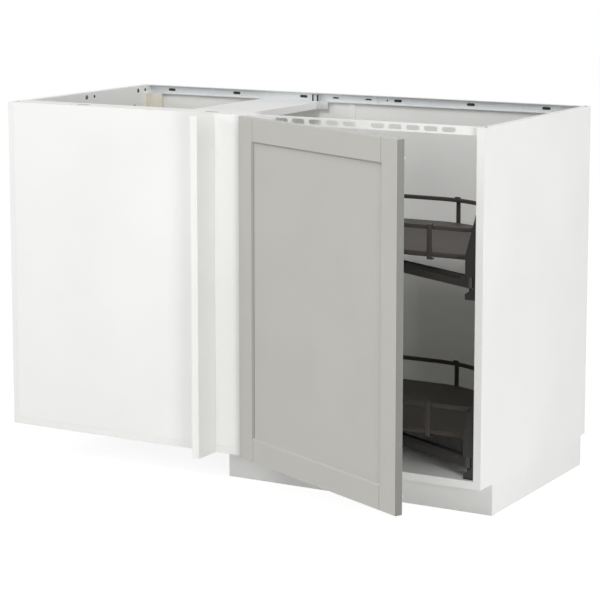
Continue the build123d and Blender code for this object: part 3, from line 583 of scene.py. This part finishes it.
def band(piece, finish, direction):
    """Gives a second finish to the faces that look along a direction, either way."""
    polygons = piece.data.polygons
    piece.data.materials.append(finish)
    normals = np.empty(len(polygons) * 3, np.float32)
    polygons.foreach_get("normal", normals)
    chosen = np.abs(normals.reshape(-1, 3) @ np.array(direction)) > SAME_WAY
    slots = np.zeros(len(polygons), np.int32)
    polygons.foreach_get("material_index", slots)
    slots[chosen] = len(piece.data.materials) - 1
    polygons.foreach_set("material_index", slots)
    print(piece.name, "banded faces:", int(chosen.sum()))


# %% Boards
BOARD_ROUND = 0.9
PLINTH_ROUND = 0.8
for board_name in ("side_panel_left", "side_panel_right", "bottom_panel"):
    band(eased(board_name, "cabinet", BOARD_ROUND), edge_band_shade_finish, (0, 1, 0))
for board_name in (
    "blind_panel", "return_board", "hinge_stile", "top_front_board", "crossbar", "hinge_post",
):
    eased(board_name, "cabinet", BOARD_ROUND)
for board_name in ("plinth_front", "plinth_side"):
    eased(board_name, "cabinet", PLINTH_ROUND)
print("boards are rounded by", BOARD_ROUND, "and", PLINTH_ROUND, "mm")

# %% [markdown]
# ## The door's own directions
#
# The door stands ajar, so its edges run along none of the frame's axes. Its angle could be typed
# here, but the closing joint knows it: that joint ends where the door is shut. From the angle come
# the three directions along, into and up the door, and the door's pieces are measured in them.

# %% The door's own directions
door_joint = next(joint for joint in frame["joints"] if joint["name"] == "door_close")
ajar = math.radians(max(abs(angle) for angle in door_joint["range_deg"]))
pin = np.array(door_joint["pos_m"])
along_door = Vector((math.cos(ajar), -math.sin(ajar), 0))
into_door = Vector((math.sin(ajar), math.cos(ajar), 0))
door_axes = np.array([along_door, into_door, (0, 0, 1)])
print("door stands ajar by", round(math.degrees(ajar), 1), "degrees")


def door_box(node_name):
    """A solid's lowest and highest corner in the door's directions, from the pin, in mm."""
    turned = (mesh_points(nodes[node_name].data) - pin) @ door_axes.T
    return turned.min(0) / MM, turned.max(0) / MM


# %% [markdown]
# ## The door's frame
#
# The frame is two upright stiles and two rails round a thin panel, with slopes towards the panel.
# Where two rounded members meet, their rounds make a fine groove, as on the real door, so no line
# is drawn. The narrow sides, and the slopes of the hinge stile and the top rail, stand in shade.
# The shade is painted: they get a second, darker grey finish, picked by the way their faces look.

# %% Frame
DOOR_ROUND = 1.1
peel = {"cloud": (8.0, 3), "sand": (380.0, 1), "gloss": (0.42, 0.5), "distance": 0.00015}
# Painted shade: the door's narrow sides and slopes get darker greys than its paint.
door_edge_shade = sandy("door_edge_painted_shade", tone(122, 122, 118), tone(128, 128, 124), **peel)
door_slope_shade = sandy("door_slope_painted_shade", tone(150, 149, 145), tone(156, 155, 151), **peel)
# Only the slopes of the hinge stile and the top rail get painted shade.
slopes = {
    "door_stile_hinge": along_door - into_door,
    "door_rail_top": -into_door - Vector((0, 0, 1)),
}
for member in ("door_stile_hinge", "door_stile_free", "door_rail_top", "door_rail_bottom"):
    member_piece = eased(member, "door", DOOR_ROUND)
    band(member_piece, door_edge_shade, along_door)
    if member in slopes:
        band(member_piece, door_slope_shade, slopes[member].normalized())


# %% [markdown]
# ## Surfaces carried along a path
#
# Rails, caps and bent strips are all one idea: a small closed profile that is carried along a
# path. A curve object with a bevel could do it, but gives less say over each corner. Here the path
# gives a place and two directions for each step, the profile gives the outline in those two
# directions, and numpy multiplies them out into one grid of points.

# %% A piece from points and faces
def put_mesh(name, points, faces, body, slot, replaced=(), finish=None, crease=35):
    """Makes a piece from points and faces, smooth except at sharp creases, and lets it ride."""
    mesh = bpy.data.meshes.new(name)
    mesh.from_pydata(points.reshape(-1, 3).tolist(), [], faces)
    mesh.polygons.foreach_set("use_smooth", np.ones(len(mesh.polygons), bool))
    mesh.set_sharp_from_angle(angle=math.radians(crease))
    mesh.materials.append(finish or finishes[slot])
    piece = bpy.data.objects.new(name, mesh)
    bpy.context.scene.collection.objects.link(piece)
    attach(piece, body)
    if replaced:
        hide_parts(*replaced)
    print(name, "faces:", len(faces))


# %% Faces of a grid
def grid_faces(rows, columns, rows_close):
    """Four-sided faces of a grid whose columns close to a ring, and whose rows may close too."""
    runs = rows if rows_close else rows - 1
    r, c = np.divmod(np.arange(runs * columns), columns)
    here, above = r * columns, (r + 1) % rows * columns
    c_next = (c + 1) % columns
    return np.stack([here + c, here + c_next, above + c_next, above + c], axis=1).tolist()


def capped(rows, columns):
    """The faces of an open grid of rings, with its first and last ring closed by one face each."""
    first = list(range(columns))[::-1]
    last = list(range((rows - 1) * columns, rows * columns))
    return grid_faces(rows, columns, False) + [first, last]


print("faces of a capped grid of 3 by 8 points:", len(capped(3, 8)))


# %% Profiles carried along paths
def rounded_bar(width, height, radius, steps=4):
    """Points round a rectangle: four quarter circles, joined by straight sides."""
    turn = np.linspace(0, np.pi / 2, steps)
    turns = (turn[None, :] + np.arange(4)[:, None] * np.pi / 2).ravel()
    sides = np.repeat([[1, 1], [-1, 1], [-1, -1], [1, -1]], steps, axis=0)
    middles = sides * (np.array([width, height]) / 2 - radius)
    return middles + radius * np.stack([np.cos(turns), np.sin(turns)], axis=1)


def swept(path, across, upwards, profile, closed):
    """Point (i, j) is path i plus profile j's first number times across i and second times up i.

    The profile runs against the clock. It is turned round where across, upwards and the path's
    own way are left-handed, so that the faces always look outwards.
    """
    if np.cross(across[0], upwards[0]) @ (path[1] - path[0]) < 0:
        profile = profile[::-1]
    first = profile[None, :, 0, None] * across[:, None, :]
    second = profile[None, :, 1, None] * upwards[:, None, :]
    points = path[:, None, :] + first + second
    if closed:
        return points, grid_faces(len(path), len(profile), True)
    return points, capped(len(path), len(profile))


def straight(start, end, sideways, profile):
    """A profile carried along one level run, its first numbers sideways and its second upwards."""
    across = np.tile(np.append(sideways, 0) * MM, (2, 1))
    upwards = np.tile([0, 0, MM], (2, 1))
    return swept(np.array([start, end]) * MM, across, upwards, profile, False)


def joined(parts):
    """Several pieces of points and faces as one: each one's face numbers start after the last's."""
    points, faces, start = [], [], 0
    for part_points, part_faces in parts:
        points.append(part_points.reshape(-1, 3))
        faces += [[start + corner for corner in face] for face in part_faces]
        start += len(points[-1])
    return np.concatenate(points), faces


print("points round a 5 by 10 mm bar:", len(rounded_bar(5, 10, 1.6)))

# %% [markdown]
# ## The trays' outline
#
# Seen from above a tray is a kidney. It has a quarter of an ellipse on the right, which clears the
# door's post when the tray swings out, a round lobe on the left, and a waist between them. It
# could be drawn as a spline, but then nothing could follow it at a distance. It is worked out as
# arcs and straight runs instead, at any distance inside the edge, so the board's rim and the rail
# above share one function.

# %% Arcs and rounded corners
def arc(middle, radii, start, end, steps):
    """Points on an ellipse's arc, by the cosine and sine of an evenly growing angle in degrees."""
    turn = np.radians(np.linspace(start, end, steps))
    x = middle[0] + radii[0] * np.cos(turn)
    y = middle[1] + radii[1] * np.sin(turn)
    return np.stack([x, y], axis=1)


def rounded_corner(before, corner, after, radius, steps=14):
    """Points of the arc that rounds a corner. It touches both sides equally far from it."""
    before, corner, after = (np.array(point, float) for point in (before, corner, after))
    back = (before - corner) / np.linalg.norm(before - corner)
    on = (after - corner) / np.linalg.norm(after - corner)
    half = math.acos(float(np.clip(back @ on, -1, 1))) / 2
    touch = radius / math.tan(half)
    middle = corner + (back + on) / np.linalg.norm(back + on) * radius / math.sin(half)
    share = np.linspace(0, 1, steps)[:, None]
    chord = (corner + back * touch) * (1 - share) + (corner + on * touch) * share - middle
    return middle + chord / np.linalg.norm(chord, axis=1)[:, None] * radius


corner_points = rounded_corner((10, 0), (0, 0), (0, 10), 3)
print("a corner rounded by 3 mm starts and ends at", corner_points[0], corner_points[-1])

# %% The kidney
TRAY = {
    "corner": 14,
    "bow_rise": 34,
    "bow_width": 291,
    "lobe_setback": 203,
    "heel": 84,
    "lobe": 140,
    "near_edge": 176,
    "waist": 280,
    "waist_round": 80,
}
SHORTEST_STEP = 0.01


def kidney(level_name, inset):
    """The tray's outline in mm, against the clock seen from above, at a distance inside its edge.

    Four arcs, each with its angles and its count of points, and the waist's two rounded corners.
    """
    lowest, highest = box_mm("tray_floor_" + level_name)
    right, left = highest[0] - inset, lowest[0] + inset
    near, far = lowest[1] + inset, highest[1] - inset
    waist_line = lowest[1] + TRAY["lobe_setback"]
    bow_start = lowest[1] + TRAY["bow_rise"]
    bow_left = highest[0] - TRAY["bow_width"]
    corner, lobe, heel = TRAY["corner"] - inset, TRAY["lobe"] - inset, TRAY["heel"] - inset
    waist_right = highest[0] - TRAY["near_edge"]
    waist_left = waist_right - TRAY["waist"]
    lean = math.atan2(TRAY["lobe_setback"], TRAY["waist"])
    shift = inset * math.tan(lean / 2)
    upper = (waist_left + shift, waist_line + inset)
    lower = (waist_right + shift, near)
    line = np.concatenate([
        arc((right - corner, near + corner), (corner, corner), -90, 0, 8),
        arc((bow_left, bow_start), (right - bow_left, far - bow_start), 0, 90, 72),
        arc((left + lobe, far - lobe), (lobe, lobe), 90, 180, 40),
        arc((left + heel, upper[1] + heel), (heel, heel), 180, 270, 28),
        rounded_corner((left + heel, upper[1]), upper, lower, TRAY["waist_round"] + inset),
        rounded_corner(upper, lower, (right - corner, near), TRAY["waist_round"] - inset),
    ])
    steps = np.linalg.norm(line - np.roll(line, 1, axis=0), axis=1)
    return line[steps > SHORTEST_STEP]


outline = kidney("lower", 0)
print("points round a tray:", len(outline), "its size in mm:", np.ptp(outline, axis=0).round())

# %% [markdown]
# ## Tray boards
#
# The board is chipboard with a rounded rim. A Bevel modifier would round a cut-out plate too, but
# it stumbles on the many short edges of a curved outline. So the rim is worked out: it is the
# outline at a changing inset, following a small quarter round at the underside, a straight band
# and a second quarter round at the top. One flat face closes it below and one above.

# %% Boards with rounded rims
RIM_STEPS = 9
RIM_SHARE = 0.45
HAIR = 0.001
LEVELS = ("lower", "upper")


def tray_board(level_name):
    """Row j of the rim is the outline moved in by s (1 - cos a), and up by s sin a from the middle.

    The angle a grows from -90 to 90 degrees and s is the round's radius. The straight part of the
    rim is added with the sign of a. A hair's breadth keeps the board inside its solid's box.
    """
    lowest, highest = box_mm("tray_floor_" + level_name)
    half = (highest[2] - lowest[2]) / 2
    soft = RIM_SHARE * half
    rows = []
    for turn in np.linspace(-np.pi / 2, np.pi / 2, RIM_STEPS):
        line = kidney(level_name, soft * (1 - math.cos(turn)) + HAIR)
        height = lowest[2] + half + soft * math.sin(turn) + (half - soft) * np.sign(turn)
        rows.append(np.column_stack([line, np.full(len(line), height)]))
    count = min(len(row) for row in rows)
    points = np.stack([row[:count] for row in rows]) * MM
    put_mesh(
        "tray_board_" + level_name, points, capped(len(rows), count),
        "tray_" + level_name, "tray_board", ["tray_floor_" + level_name],
    )


# %% [markdown]
# ## Guard rails
#
# A flat steel bar runs round each tray above the board, so that nothing slides off when the tray
# swings. A bar bent on its flat follows the outline at a constant distance, and that is what the
# outline's inset is for. The bar's edges are rounded, because strip steel is rolled.

# %% Guard rails
RAIL_THICKNESS = 5
RAIL_ROUND = 1.6


def ring_frames(line, height):
    """A closed outline at a height, with its outward and its upward directions, in metres."""
    along = np.roll(line, -1, axis=0) - np.roll(line, 1, axis=0)
    along /= np.linalg.norm(along, axis=1)[:, None]
    path = np.column_stack([line, np.full(len(line), height)]) * MM
    across = np.column_stack([along[:, 1], -along[:, 0], np.zeros(len(line))]) * MM
    upwards = np.tile([0, 0, MM], (len(line), 1))
    return path, across, upwards


def tray_rail(level_name):
    """A rounded bar carried round the outline, in the middle of the solid rail's height."""
    lowest, highest = box_mm("tray_guard_" + level_name)
    inset = lowest[0] - box_mm("tray_floor_" + level_name)[0][0]
    bar = rounded_bar(RAIL_THICKNESS, highest[2] - lowest[2], RAIL_ROUND)
    line = kidney(level_name, inset + RAIL_THICKNESS / 2)
    points, faces = swept(*ring_frames(line, (lowest[2] + highest[2]) / 2), bar, True)
    put_mesh(
        "tray_rail_" + level_name, points, faces,
        "tray_" + level_name, "tray_brown", ["tray_guard_" + level_name],
    )


for level_name in LEVELS:
    tray_board(level_name)
    tray_rail(level_name)

# %% [markdown]
# ## Posts
#
# A post is one strip of steel, bent twice: its foot grips the board from below, its shank stands
# on the rim, and its tip folds over the rail. Boxes set end to end would show seams at the bends.
# So the path runs foot, shank, tip with a small round at each bend, and the profile is the strip's
# own section. Six posts stand round each tray.

# %% Bent strips
STRIP_ROUND = 0.8


def bent(points, radius, steps=5):
    """A path through points with every inner corner rounded by the same radius."""
    line = [np.array([points[0]], float)]
    for before, corner, after in zip(points[:-2], points[1:-1], points[2:]):
        line.append(rounded_corner(before, corner, after, radius, steps))
    line.append(np.array([points[-1]], float))
    return np.concatenate(line)


def strip(place, outward, outline, width, thickness):
    """A strip whose bent line is (outwards, upwards) in mm from a place, its width across both."""
    outward = np.array([math.cos(outward), math.sin(outward), 0])
    sideways = np.array([-outward[1], outward[0], 0])
    up = np.array([0, 0, 1])
    along = np.gradient(outline, axis=0)
    along /= np.linalg.norm(along, axis=1)[:, None]
    path = (np.array(place) + outline[:, :1] * outward + outline[:, 1:] * up) * MM
    normal = (along[:, 1:] * -outward + along[:, :1] * up) * MM
    across = np.tile(sideways * MM, (len(outline), 1))
    return swept(path, across, normal, rounded_bar(width, thickness, STRIP_ROUND, 3), False)


# %% Posts
POST_WIDTH = 12
POST_THICKNESS = 3
POST_BEND = 2.4
POST_FOOT = (-12, -4.5)
POST_TIP = -6
NEAR_POST, FAR_POST, WAIST_POST = 106, 245, 165
BOW_POSTS = (24, 80)


def tray_posts(level_name):
    """Six bent strips: on the near edge, the far edge, the waist, the heel and twice on the bow."""
    lowest, highest = box_mm("tray_floor_" + level_name)
    rail_top = box_mm("tray_guard_" + level_name)[1][2]
    waist_line = lowest[1] + TRAY["lobe_setback"]
    bow_middle = (highest[0] - TRAY["bow_width"], lowest[1] + TRAY["bow_rise"])
    bow_radii = (TRAY["bow_width"], highest[1] - bow_middle[1])
    places = [
        (highest[0] - NEAR_POST, lowest[1], -90),
        (lowest[0] + FAR_POST, highest[1], 90),
        (lowest[0] + WAIST_POST, waist_line, -90),
        (lowest[0], waist_line + TRAY["heel"], 180),
    ]
    for turn in BOW_POSTS:
        x = bow_middle[0] + bow_radii[0] * math.cos(math.radians(turn))
        y = bow_middle[1] + bow_radii[1] * math.sin(math.radians(turn))
        slope = (x - bow_middle[0]) / bow_radii[0] ** 2, (y - bow_middle[1]) / bow_radii[1] ** 2
        places.append((x, y, math.degrees(math.atan2(slope[1], slope[0]))))
    skin = POST_THICKNESS / 2
    tip = rail_top - lowest[2] + skin
    outline = bent([POST_FOOT, (skin, POST_FOOT[1]), (skin, tip), (POST_TIP, tip)], POST_BEND)
    points, faces = joined([
        strip((x, y, lowest[2]), math.radians(turn), outline, POST_WIDTH, POST_THICKNESS)
        for x, y, turn in places
    ])
    put_mesh(
        "tray_post_strips_" + level_name, points, faces,
        "tray_" + level_name, "tray_brown", ["tray_posts_" + level_name],
    )


for level_name in LEVELS:
    tray_posts(level_name)

# %% [markdown]
# ## Swing arms and wall brackets
#
# Each arm is a dark steel bar with a black plastic cap along its top, on which the tray's
# underside would glide if it sagged. The cap could be painted on, but in the picture it stands a
# little proud. It is a rounded bar round the arm's upper part. Both ends are read from the arm's
# own joints, so it lies on the arm at every pose. Arms and brackets are eased copies.

# %% Glide caps
CAP_WIDTH, CAP_HEIGHT, CAP_ROUND = 15.2, 10.4, 1.2
CAP_DROP = 4.2
CAP_FROM_PIVOT = 30
CAP_FROM_HUB = 34


def joint_place(name):
    """Where a joint turns, seen from above, in millimetres."""
    joint = next(joint for joint in frame["joints"] if joint["name"] == name)
    return np.array(joint["pos_m"])[:2] / MM


def glide_cap(level_name):
    """A rounded bar between two places on the line from the arm's pivot to the tray's hub."""
    pivot, hub = joint_place("arm_swing_" + level_name), joint_place("tray_turn_" + level_name)
    height = box_mm("arm_" + level_name)[1][2] - CAP_DROP
    along = (hub - pivot) / np.linalg.norm(hub - pivot)
    start, end = pivot + along * CAP_FROM_PIVOT, hub - along * CAP_FROM_HUB
    bar = rounded_bar(CAP_WIDTH, CAP_HEIGHT, CAP_ROUND)
    cap = straight((*start, height), (*end, height), (along[1], -along[0]), bar)
    put_mesh("arm_glide_" + level_name, *cap, "swing_arm_" + level_name, "dark_plastic")


for level_name in LEVELS:
    glide_cap(level_name)

# %% Arms, brackets and pins
ARM_ROUND = 1.2
BRACKET_ROUND = 1.0
BRACKET_SHORTEST = 8.0
for level_name in LEVELS:
    eased("arm_" + level_name, "swing_arm_" + level_name, ARM_ROUND, smooth=True)
for level_name in LEVELS:
    bracket = eased("tray_bracket_" + level_name, "cabinet", BRACKET_ROUND, BRACKET_SHORTEST)
    bracket.data.materials[0] = bracket_finish
nodes["arm_pivot_pins"].data.materials[0] = finishes["dark_plastic"]
print("eased arms and brackets:", 2 * len(LEVELS))

# %% [markdown]
# ## The bead of the door
#
# Inside the frame, between its slope and the panel, the picture shows a second fine line all
# round. It is a small bead that hides the panel's joint. Four sticks could be laid and mitred one
# by one. Here one section, a quarter of an ellipse, stands at each corner of the opening,
# stretched along the diagonal, and the faces between the corners make the four mitred runs.

# %% A mitred bead
BEAD_WIDTH = 4.0
BEAD_RISE = 0.9
BEAD_TUCK = 0.3
BEAD_SINK = 0.4
BEAD_STEPS = 7
BEAD_CREASE = 50
panel_front = door_box("door_panel")[0][1]
left, right = door_box("door_stile_hinge")[1][0], door_box("door_stile_free")[0][0]
low, high = door_box("door_rail_bottom")[1][2], door_box("door_rail_top")[0][2]
turn = np.linspace(0, np.pi / 2, BEAD_STEPS)
inwards = BEAD_WIDTH * np.sin(turn) - BEAD_TUCK
forwards = panel_front - BEAD_RISE * np.cos(turn)
sunk = [[inwards[-1], panel_front + BEAD_SINK], [inwards[0], panel_front + BEAD_SINK]]
bead = np.concatenate([np.stack([inwards, forwards], axis=1), sunk])[::-1]
opening = np.array([[left, low], [right, low], [right, high], [left, high]])
mitre = np.array([[1, 1], [-1, 1], [-1, -1], [1, -1]])
flat = opening[:, None, :] + bead[None, :, :1] * mitre[:, None, :]
depths = np.broadcast_to(bead[None, :, 1:], flat[..., :1].shape)
points = np.concatenate([flat[..., :1], depths, flat[..., 1:]], axis=2) * MM @ door_axes + pin
faces = grid_faces(len(opening), len(bead), True)
put_mesh("door_bead", points, faces, "door", "door_paint", crease=BEAD_CREASE)
print("door opening in mm:", round(right - left), round(high - low))

# %% [markdown]
# ## Slots of the wall rails
#
# The galvanised rails hang the cabinet on the wall. Their oblong slots look dark, because the wall
# behind is in shade. In a white studio they would look white, so a black liner closes each at the
# back. It is a plug half a millimetre thick: two half circles joined by straight sides. The places
# come from the record's mounts, which say where the wall screws go.

# %% Slot liners
LINER_THICKNESS = 0.5
LINER_SETBACK = 0.05
RAIL_SLOT = (22.6, 7.6)
JOINER_SLOT = (18.4, 4.4)
RAIL_HOLE = (5.2, 5.18)
JOINER_INSET = 23
RAIL_HOLE_OFFSET = 30
rail_box = box_mm("back_rail_left")
rail_middle = (rail_box[0][2] + rail_box[1][2]) / 2


def pill(length, width, steps=9):
    """The outline of a slot: two half circles and the straight sides between them."""
    half = np.linspace(-np.pi / 2, np.pi / 2, steps)
    turn = np.concatenate([half, half + np.pi])
    side = np.repeat([1, -1], steps)
    x = side * (length - width) / 2 + width / 2 * np.cos(turn)
    return np.stack([x, width / 2 * np.sin(turn)], axis=1)


def liner(x, size):
    """A slot's outline carried forwards from the back of the rail by the liner's thickness."""
    back = rail_box[1][1] - LINER_SETBACK
    front = back - LINER_THICKNESS
    return straight((x, back, rail_middle), (x, front, rail_middle), (1, 0), pill(*size))


joiner_box = box_mm("back_rail_joiner")
slot_rows = [mount for mount in frame["record"]["mounts"] if mount["kind"] == "bolt_pattern"]
liners = []
for row in slot_rows:
    middle = row["pos_m"][0] / MM
    pitch = row["dims"]["spacing_x_mm"] / 2
    liners += [liner(middle + step * pitch, RAIL_SLOT) for step in (-1, 0, 1)]
for x in (joiner_box[0][0] + JOINER_INSET, joiner_box[1][0] - JOINER_INSET):
    liners.append(liner(x, JOINER_SLOT))
liners.append(liner(middle - pitch - RAIL_HOLE_OFFSET, RAIL_HOLE))  # left of the last row
put_mesh("rail_slot_liners", *joined(liners), "cabinet", "dark_plastic")
print("slot liners:", len(liners))

# %% [markdown]
# ## Hooks of the crossbar
#
# Two small dark hooks hold the crossbar's bracket on the rail. They are strips bent over the
# rail's edge, so the posts' strip function makes them too, from a shorter bent line.

# %% Hooks
HOOK_LINE = [(0.9, -14), (0.9, 3), (-5, 3)]
HOOK_BEND = 1.6
HOOK_WIDTH = 4.5
HOOK_THICKNESS = 1.6
HOOK_PLACES = (4, 18)
bracket_low, bracket_high = box_mm("crossbar_bracket")
hooks = joined([
    strip(
        (bracket_low[0] + x, bracket_high[1], bracket_high[2]), -np.pi / 2,
        bent(HOOK_LINE, HOOK_BEND), HOOK_WIDTH, HOOK_THICKNESS,
    )
    for x in HOOK_PLACES
])
put_mesh("crossbar_hooks", *hooks, "cabinet", "galvanised_steel", finish=bracket_finish)

# %% [markdown]
# ## Legs and feet
#
# The legs are moulded sleeves that press into the bottom board, and feet that screw into them. A
# Screw modifier could turn them from a profile. A formula does the same and more: a radius for
# each height is carried round the leg's middle, and a wave in the angle makes the grip's flutes.
# The foot's stem waves with height, which stands for its thread. A foot turns on its own body, so
# each one is a piece of its own.

# %% Turned shapes
SLEEVE_FLUTES, SLEEVE_WAVE, SLEEVE_STEPS = 16, 0.03, 96
FOOT_FLUTES, FOOT_WAVE, FOOT_STEPS = 12, 0.02, 72
STEM_RADIUS, THREAD_DEPTH, THREAD_PITCH = 13.2, 0.5, 3.0
STEM_START, STEM_OVERLAP, STEM_ROWS = 7.2, 2, 25


def turned(profile, middle, flutes, wave_share, steps):
    """Point (i, j) is radius i at height i and angle j, round a middle.

    A profile's row is radius, height, and 1 where the radius waves with the angle, or else 0.
    """
    angle = np.linspace(0, 2 * np.pi, steps, endpoint=False)
    wave = 1 + wave_share * np.cos(flutes * angle)
    radius = profile[:, :1] * np.where(profile[:, 2:], wave[None, :], 1.0)
    x = middle[0] + radius * np.cos(angle)[None, :]
    y = middle[1] + radius * np.sin(angle)[None, :]
    z = np.broadcast_to(profile[:, 1:2], x.shape)
    return np.stack([x, y, z], axis=2) * MM, capped(len(profile), steps)


# %% Legs and feet
under_board = box_mm("bottom_panel")[0][2]
sleeve_end = box_mm("leg_sleeves")[0][2]
sleeve_profile = np.array([
    [15.0, sleeve_end, 0],
    [16.0, sleeve_end + 0.8, 1],
    [16.0, under_board - 12, 1],
    [17.5, under_board - 8, 0],
    [26.0, under_board - 4.5, 0],
    [31.2, under_board - 3.6, 0],
    [32.0, under_board - 2.8, 0],
    [32.0, under_board, 0],
])
sole = [
    [21.5, 0, 0],
    [23.4, 0.5, 0],
    [24.0, 1.8, 0],
    [24.0, 4.6, 1],
    [23.0, 6.4, 0],
    [20.0, 7.0, 0],
]
heights = np.linspace(STEM_START, sleeve_end + STEM_OVERLAP, STEM_ROWS)
thread = STEM_RADIUS + THREAD_DEPTH * np.cos(heights * 2 * np.pi / THREAD_PITCH)
foot_profile = np.concatenate([sole, np.stack([thread, heights, np.zeros(STEM_ROWS)], axis=1)])
body_of_node = {
    member: body
    for body, members in frame["record"]["behaviour"]["bodies"].items()
    for member in members
}
sleeves = []
for foot_name in [name for name in nodes if name.startswith("foot_")]:
    lowest, highest = box_mm(foot_name)
    middle = (lowest[:2] + highest[:2]) / 2
    sleeves.append(turned(sleeve_profile, middle, SLEEVE_FLUTES, SLEEVE_WAVE, SLEEVE_STEPS))
    foot = turned(foot_profile, middle, FOOT_FLUTES, FOOT_WAVE, FOOT_STEPS)
    put_mesh(foot_name + "_turned", *foot, body_of_node[foot_name], "dark_plastic", [foot_name])
put_mesh("leg_sleeves_turned", *joined(sleeves), "cabinet", "dark_plastic", ["leg_sleeves"])
print("legs:", len(sleeves))

# %% [markdown]
# ## Drilled holes
#
# Near their top edges the side panels have small drilled holes for screws and fittings, most of
# them in pairs. They could be cut with a Boolean modifier, but they are so small that a colour
# does: the shade inside each hole is painted. The foil's finish darkens inside discs on the
# inner face: a disc is all that is nearer to its middle than its radius, seen along the board's
# thickness.

# %% Holes in the side panels
SIDE_HOLES = [  # from the front plane, from the floor, and the radius, in mm
    (305, 868.0, 5.4),
    (339, 868.0, 3.8),
    (539, 868.0, 5.4),
    (573, 868.0, 3.8),
    (522, 828.5, 3.6),
]
HOLE_RIM = 0.0004
FACE_DEPTH = 0.0005


def foil_with_hole_shade(name, inner_face, inwards):
    """White foil with discs of painted shade near the inner face. Inwards is 1 or -1 along the width."""
    finish, colour = white_foil(name)
    times, distance = {"operation": "MULTIPLY"}, {"operation": "DISTANCE"}
    flat = finish.add("ShaderNodeVectorMath", times, {0: finish.place, 1: (0, 1, 1)})
    across = finish.add("ShaderNodeSeparateXYZ", None, {0: finish.place}, "X")
    facing = (across * inwards) > (inner_face * inwards - FACE_DEPTH)
    for y, z, radius in SIDE_HOLES:
        middle = (0, front_plane + y * MM, z * MM)
        away = finish.add("ShaderNodeVectorMath", distance, {0: flat, 1: middle}, "Value")
        # Painted shade: a near-black disc stands for the shade inside each hole.
        drilled = 1 - finish.between(away, radius * MM - HOLE_RIM, radius * MM + HOLE_RIM)
        colour = finish.blend(drilled * facing, colour, tone(14))
    finish.set(base_color=colour)
    return keep(finish)


hole_shade_foil_left = foil_with_hole_shade("white_foil_hole_shade_left", side_left[1].x, 1)
hole_shade_foil_right = foil_with_hole_shade("white_foil_hole_shade_right", side_right[0].x, -1)
bpy.data.objects["side_panel_left_eased"].data.materials[0] = hole_shade_foil_left
bpy.data.objects["side_panel_right_eased"].data.materials[0] = hole_shade_foil_right
print("holes in each side:", len(SIDE_HOLES))
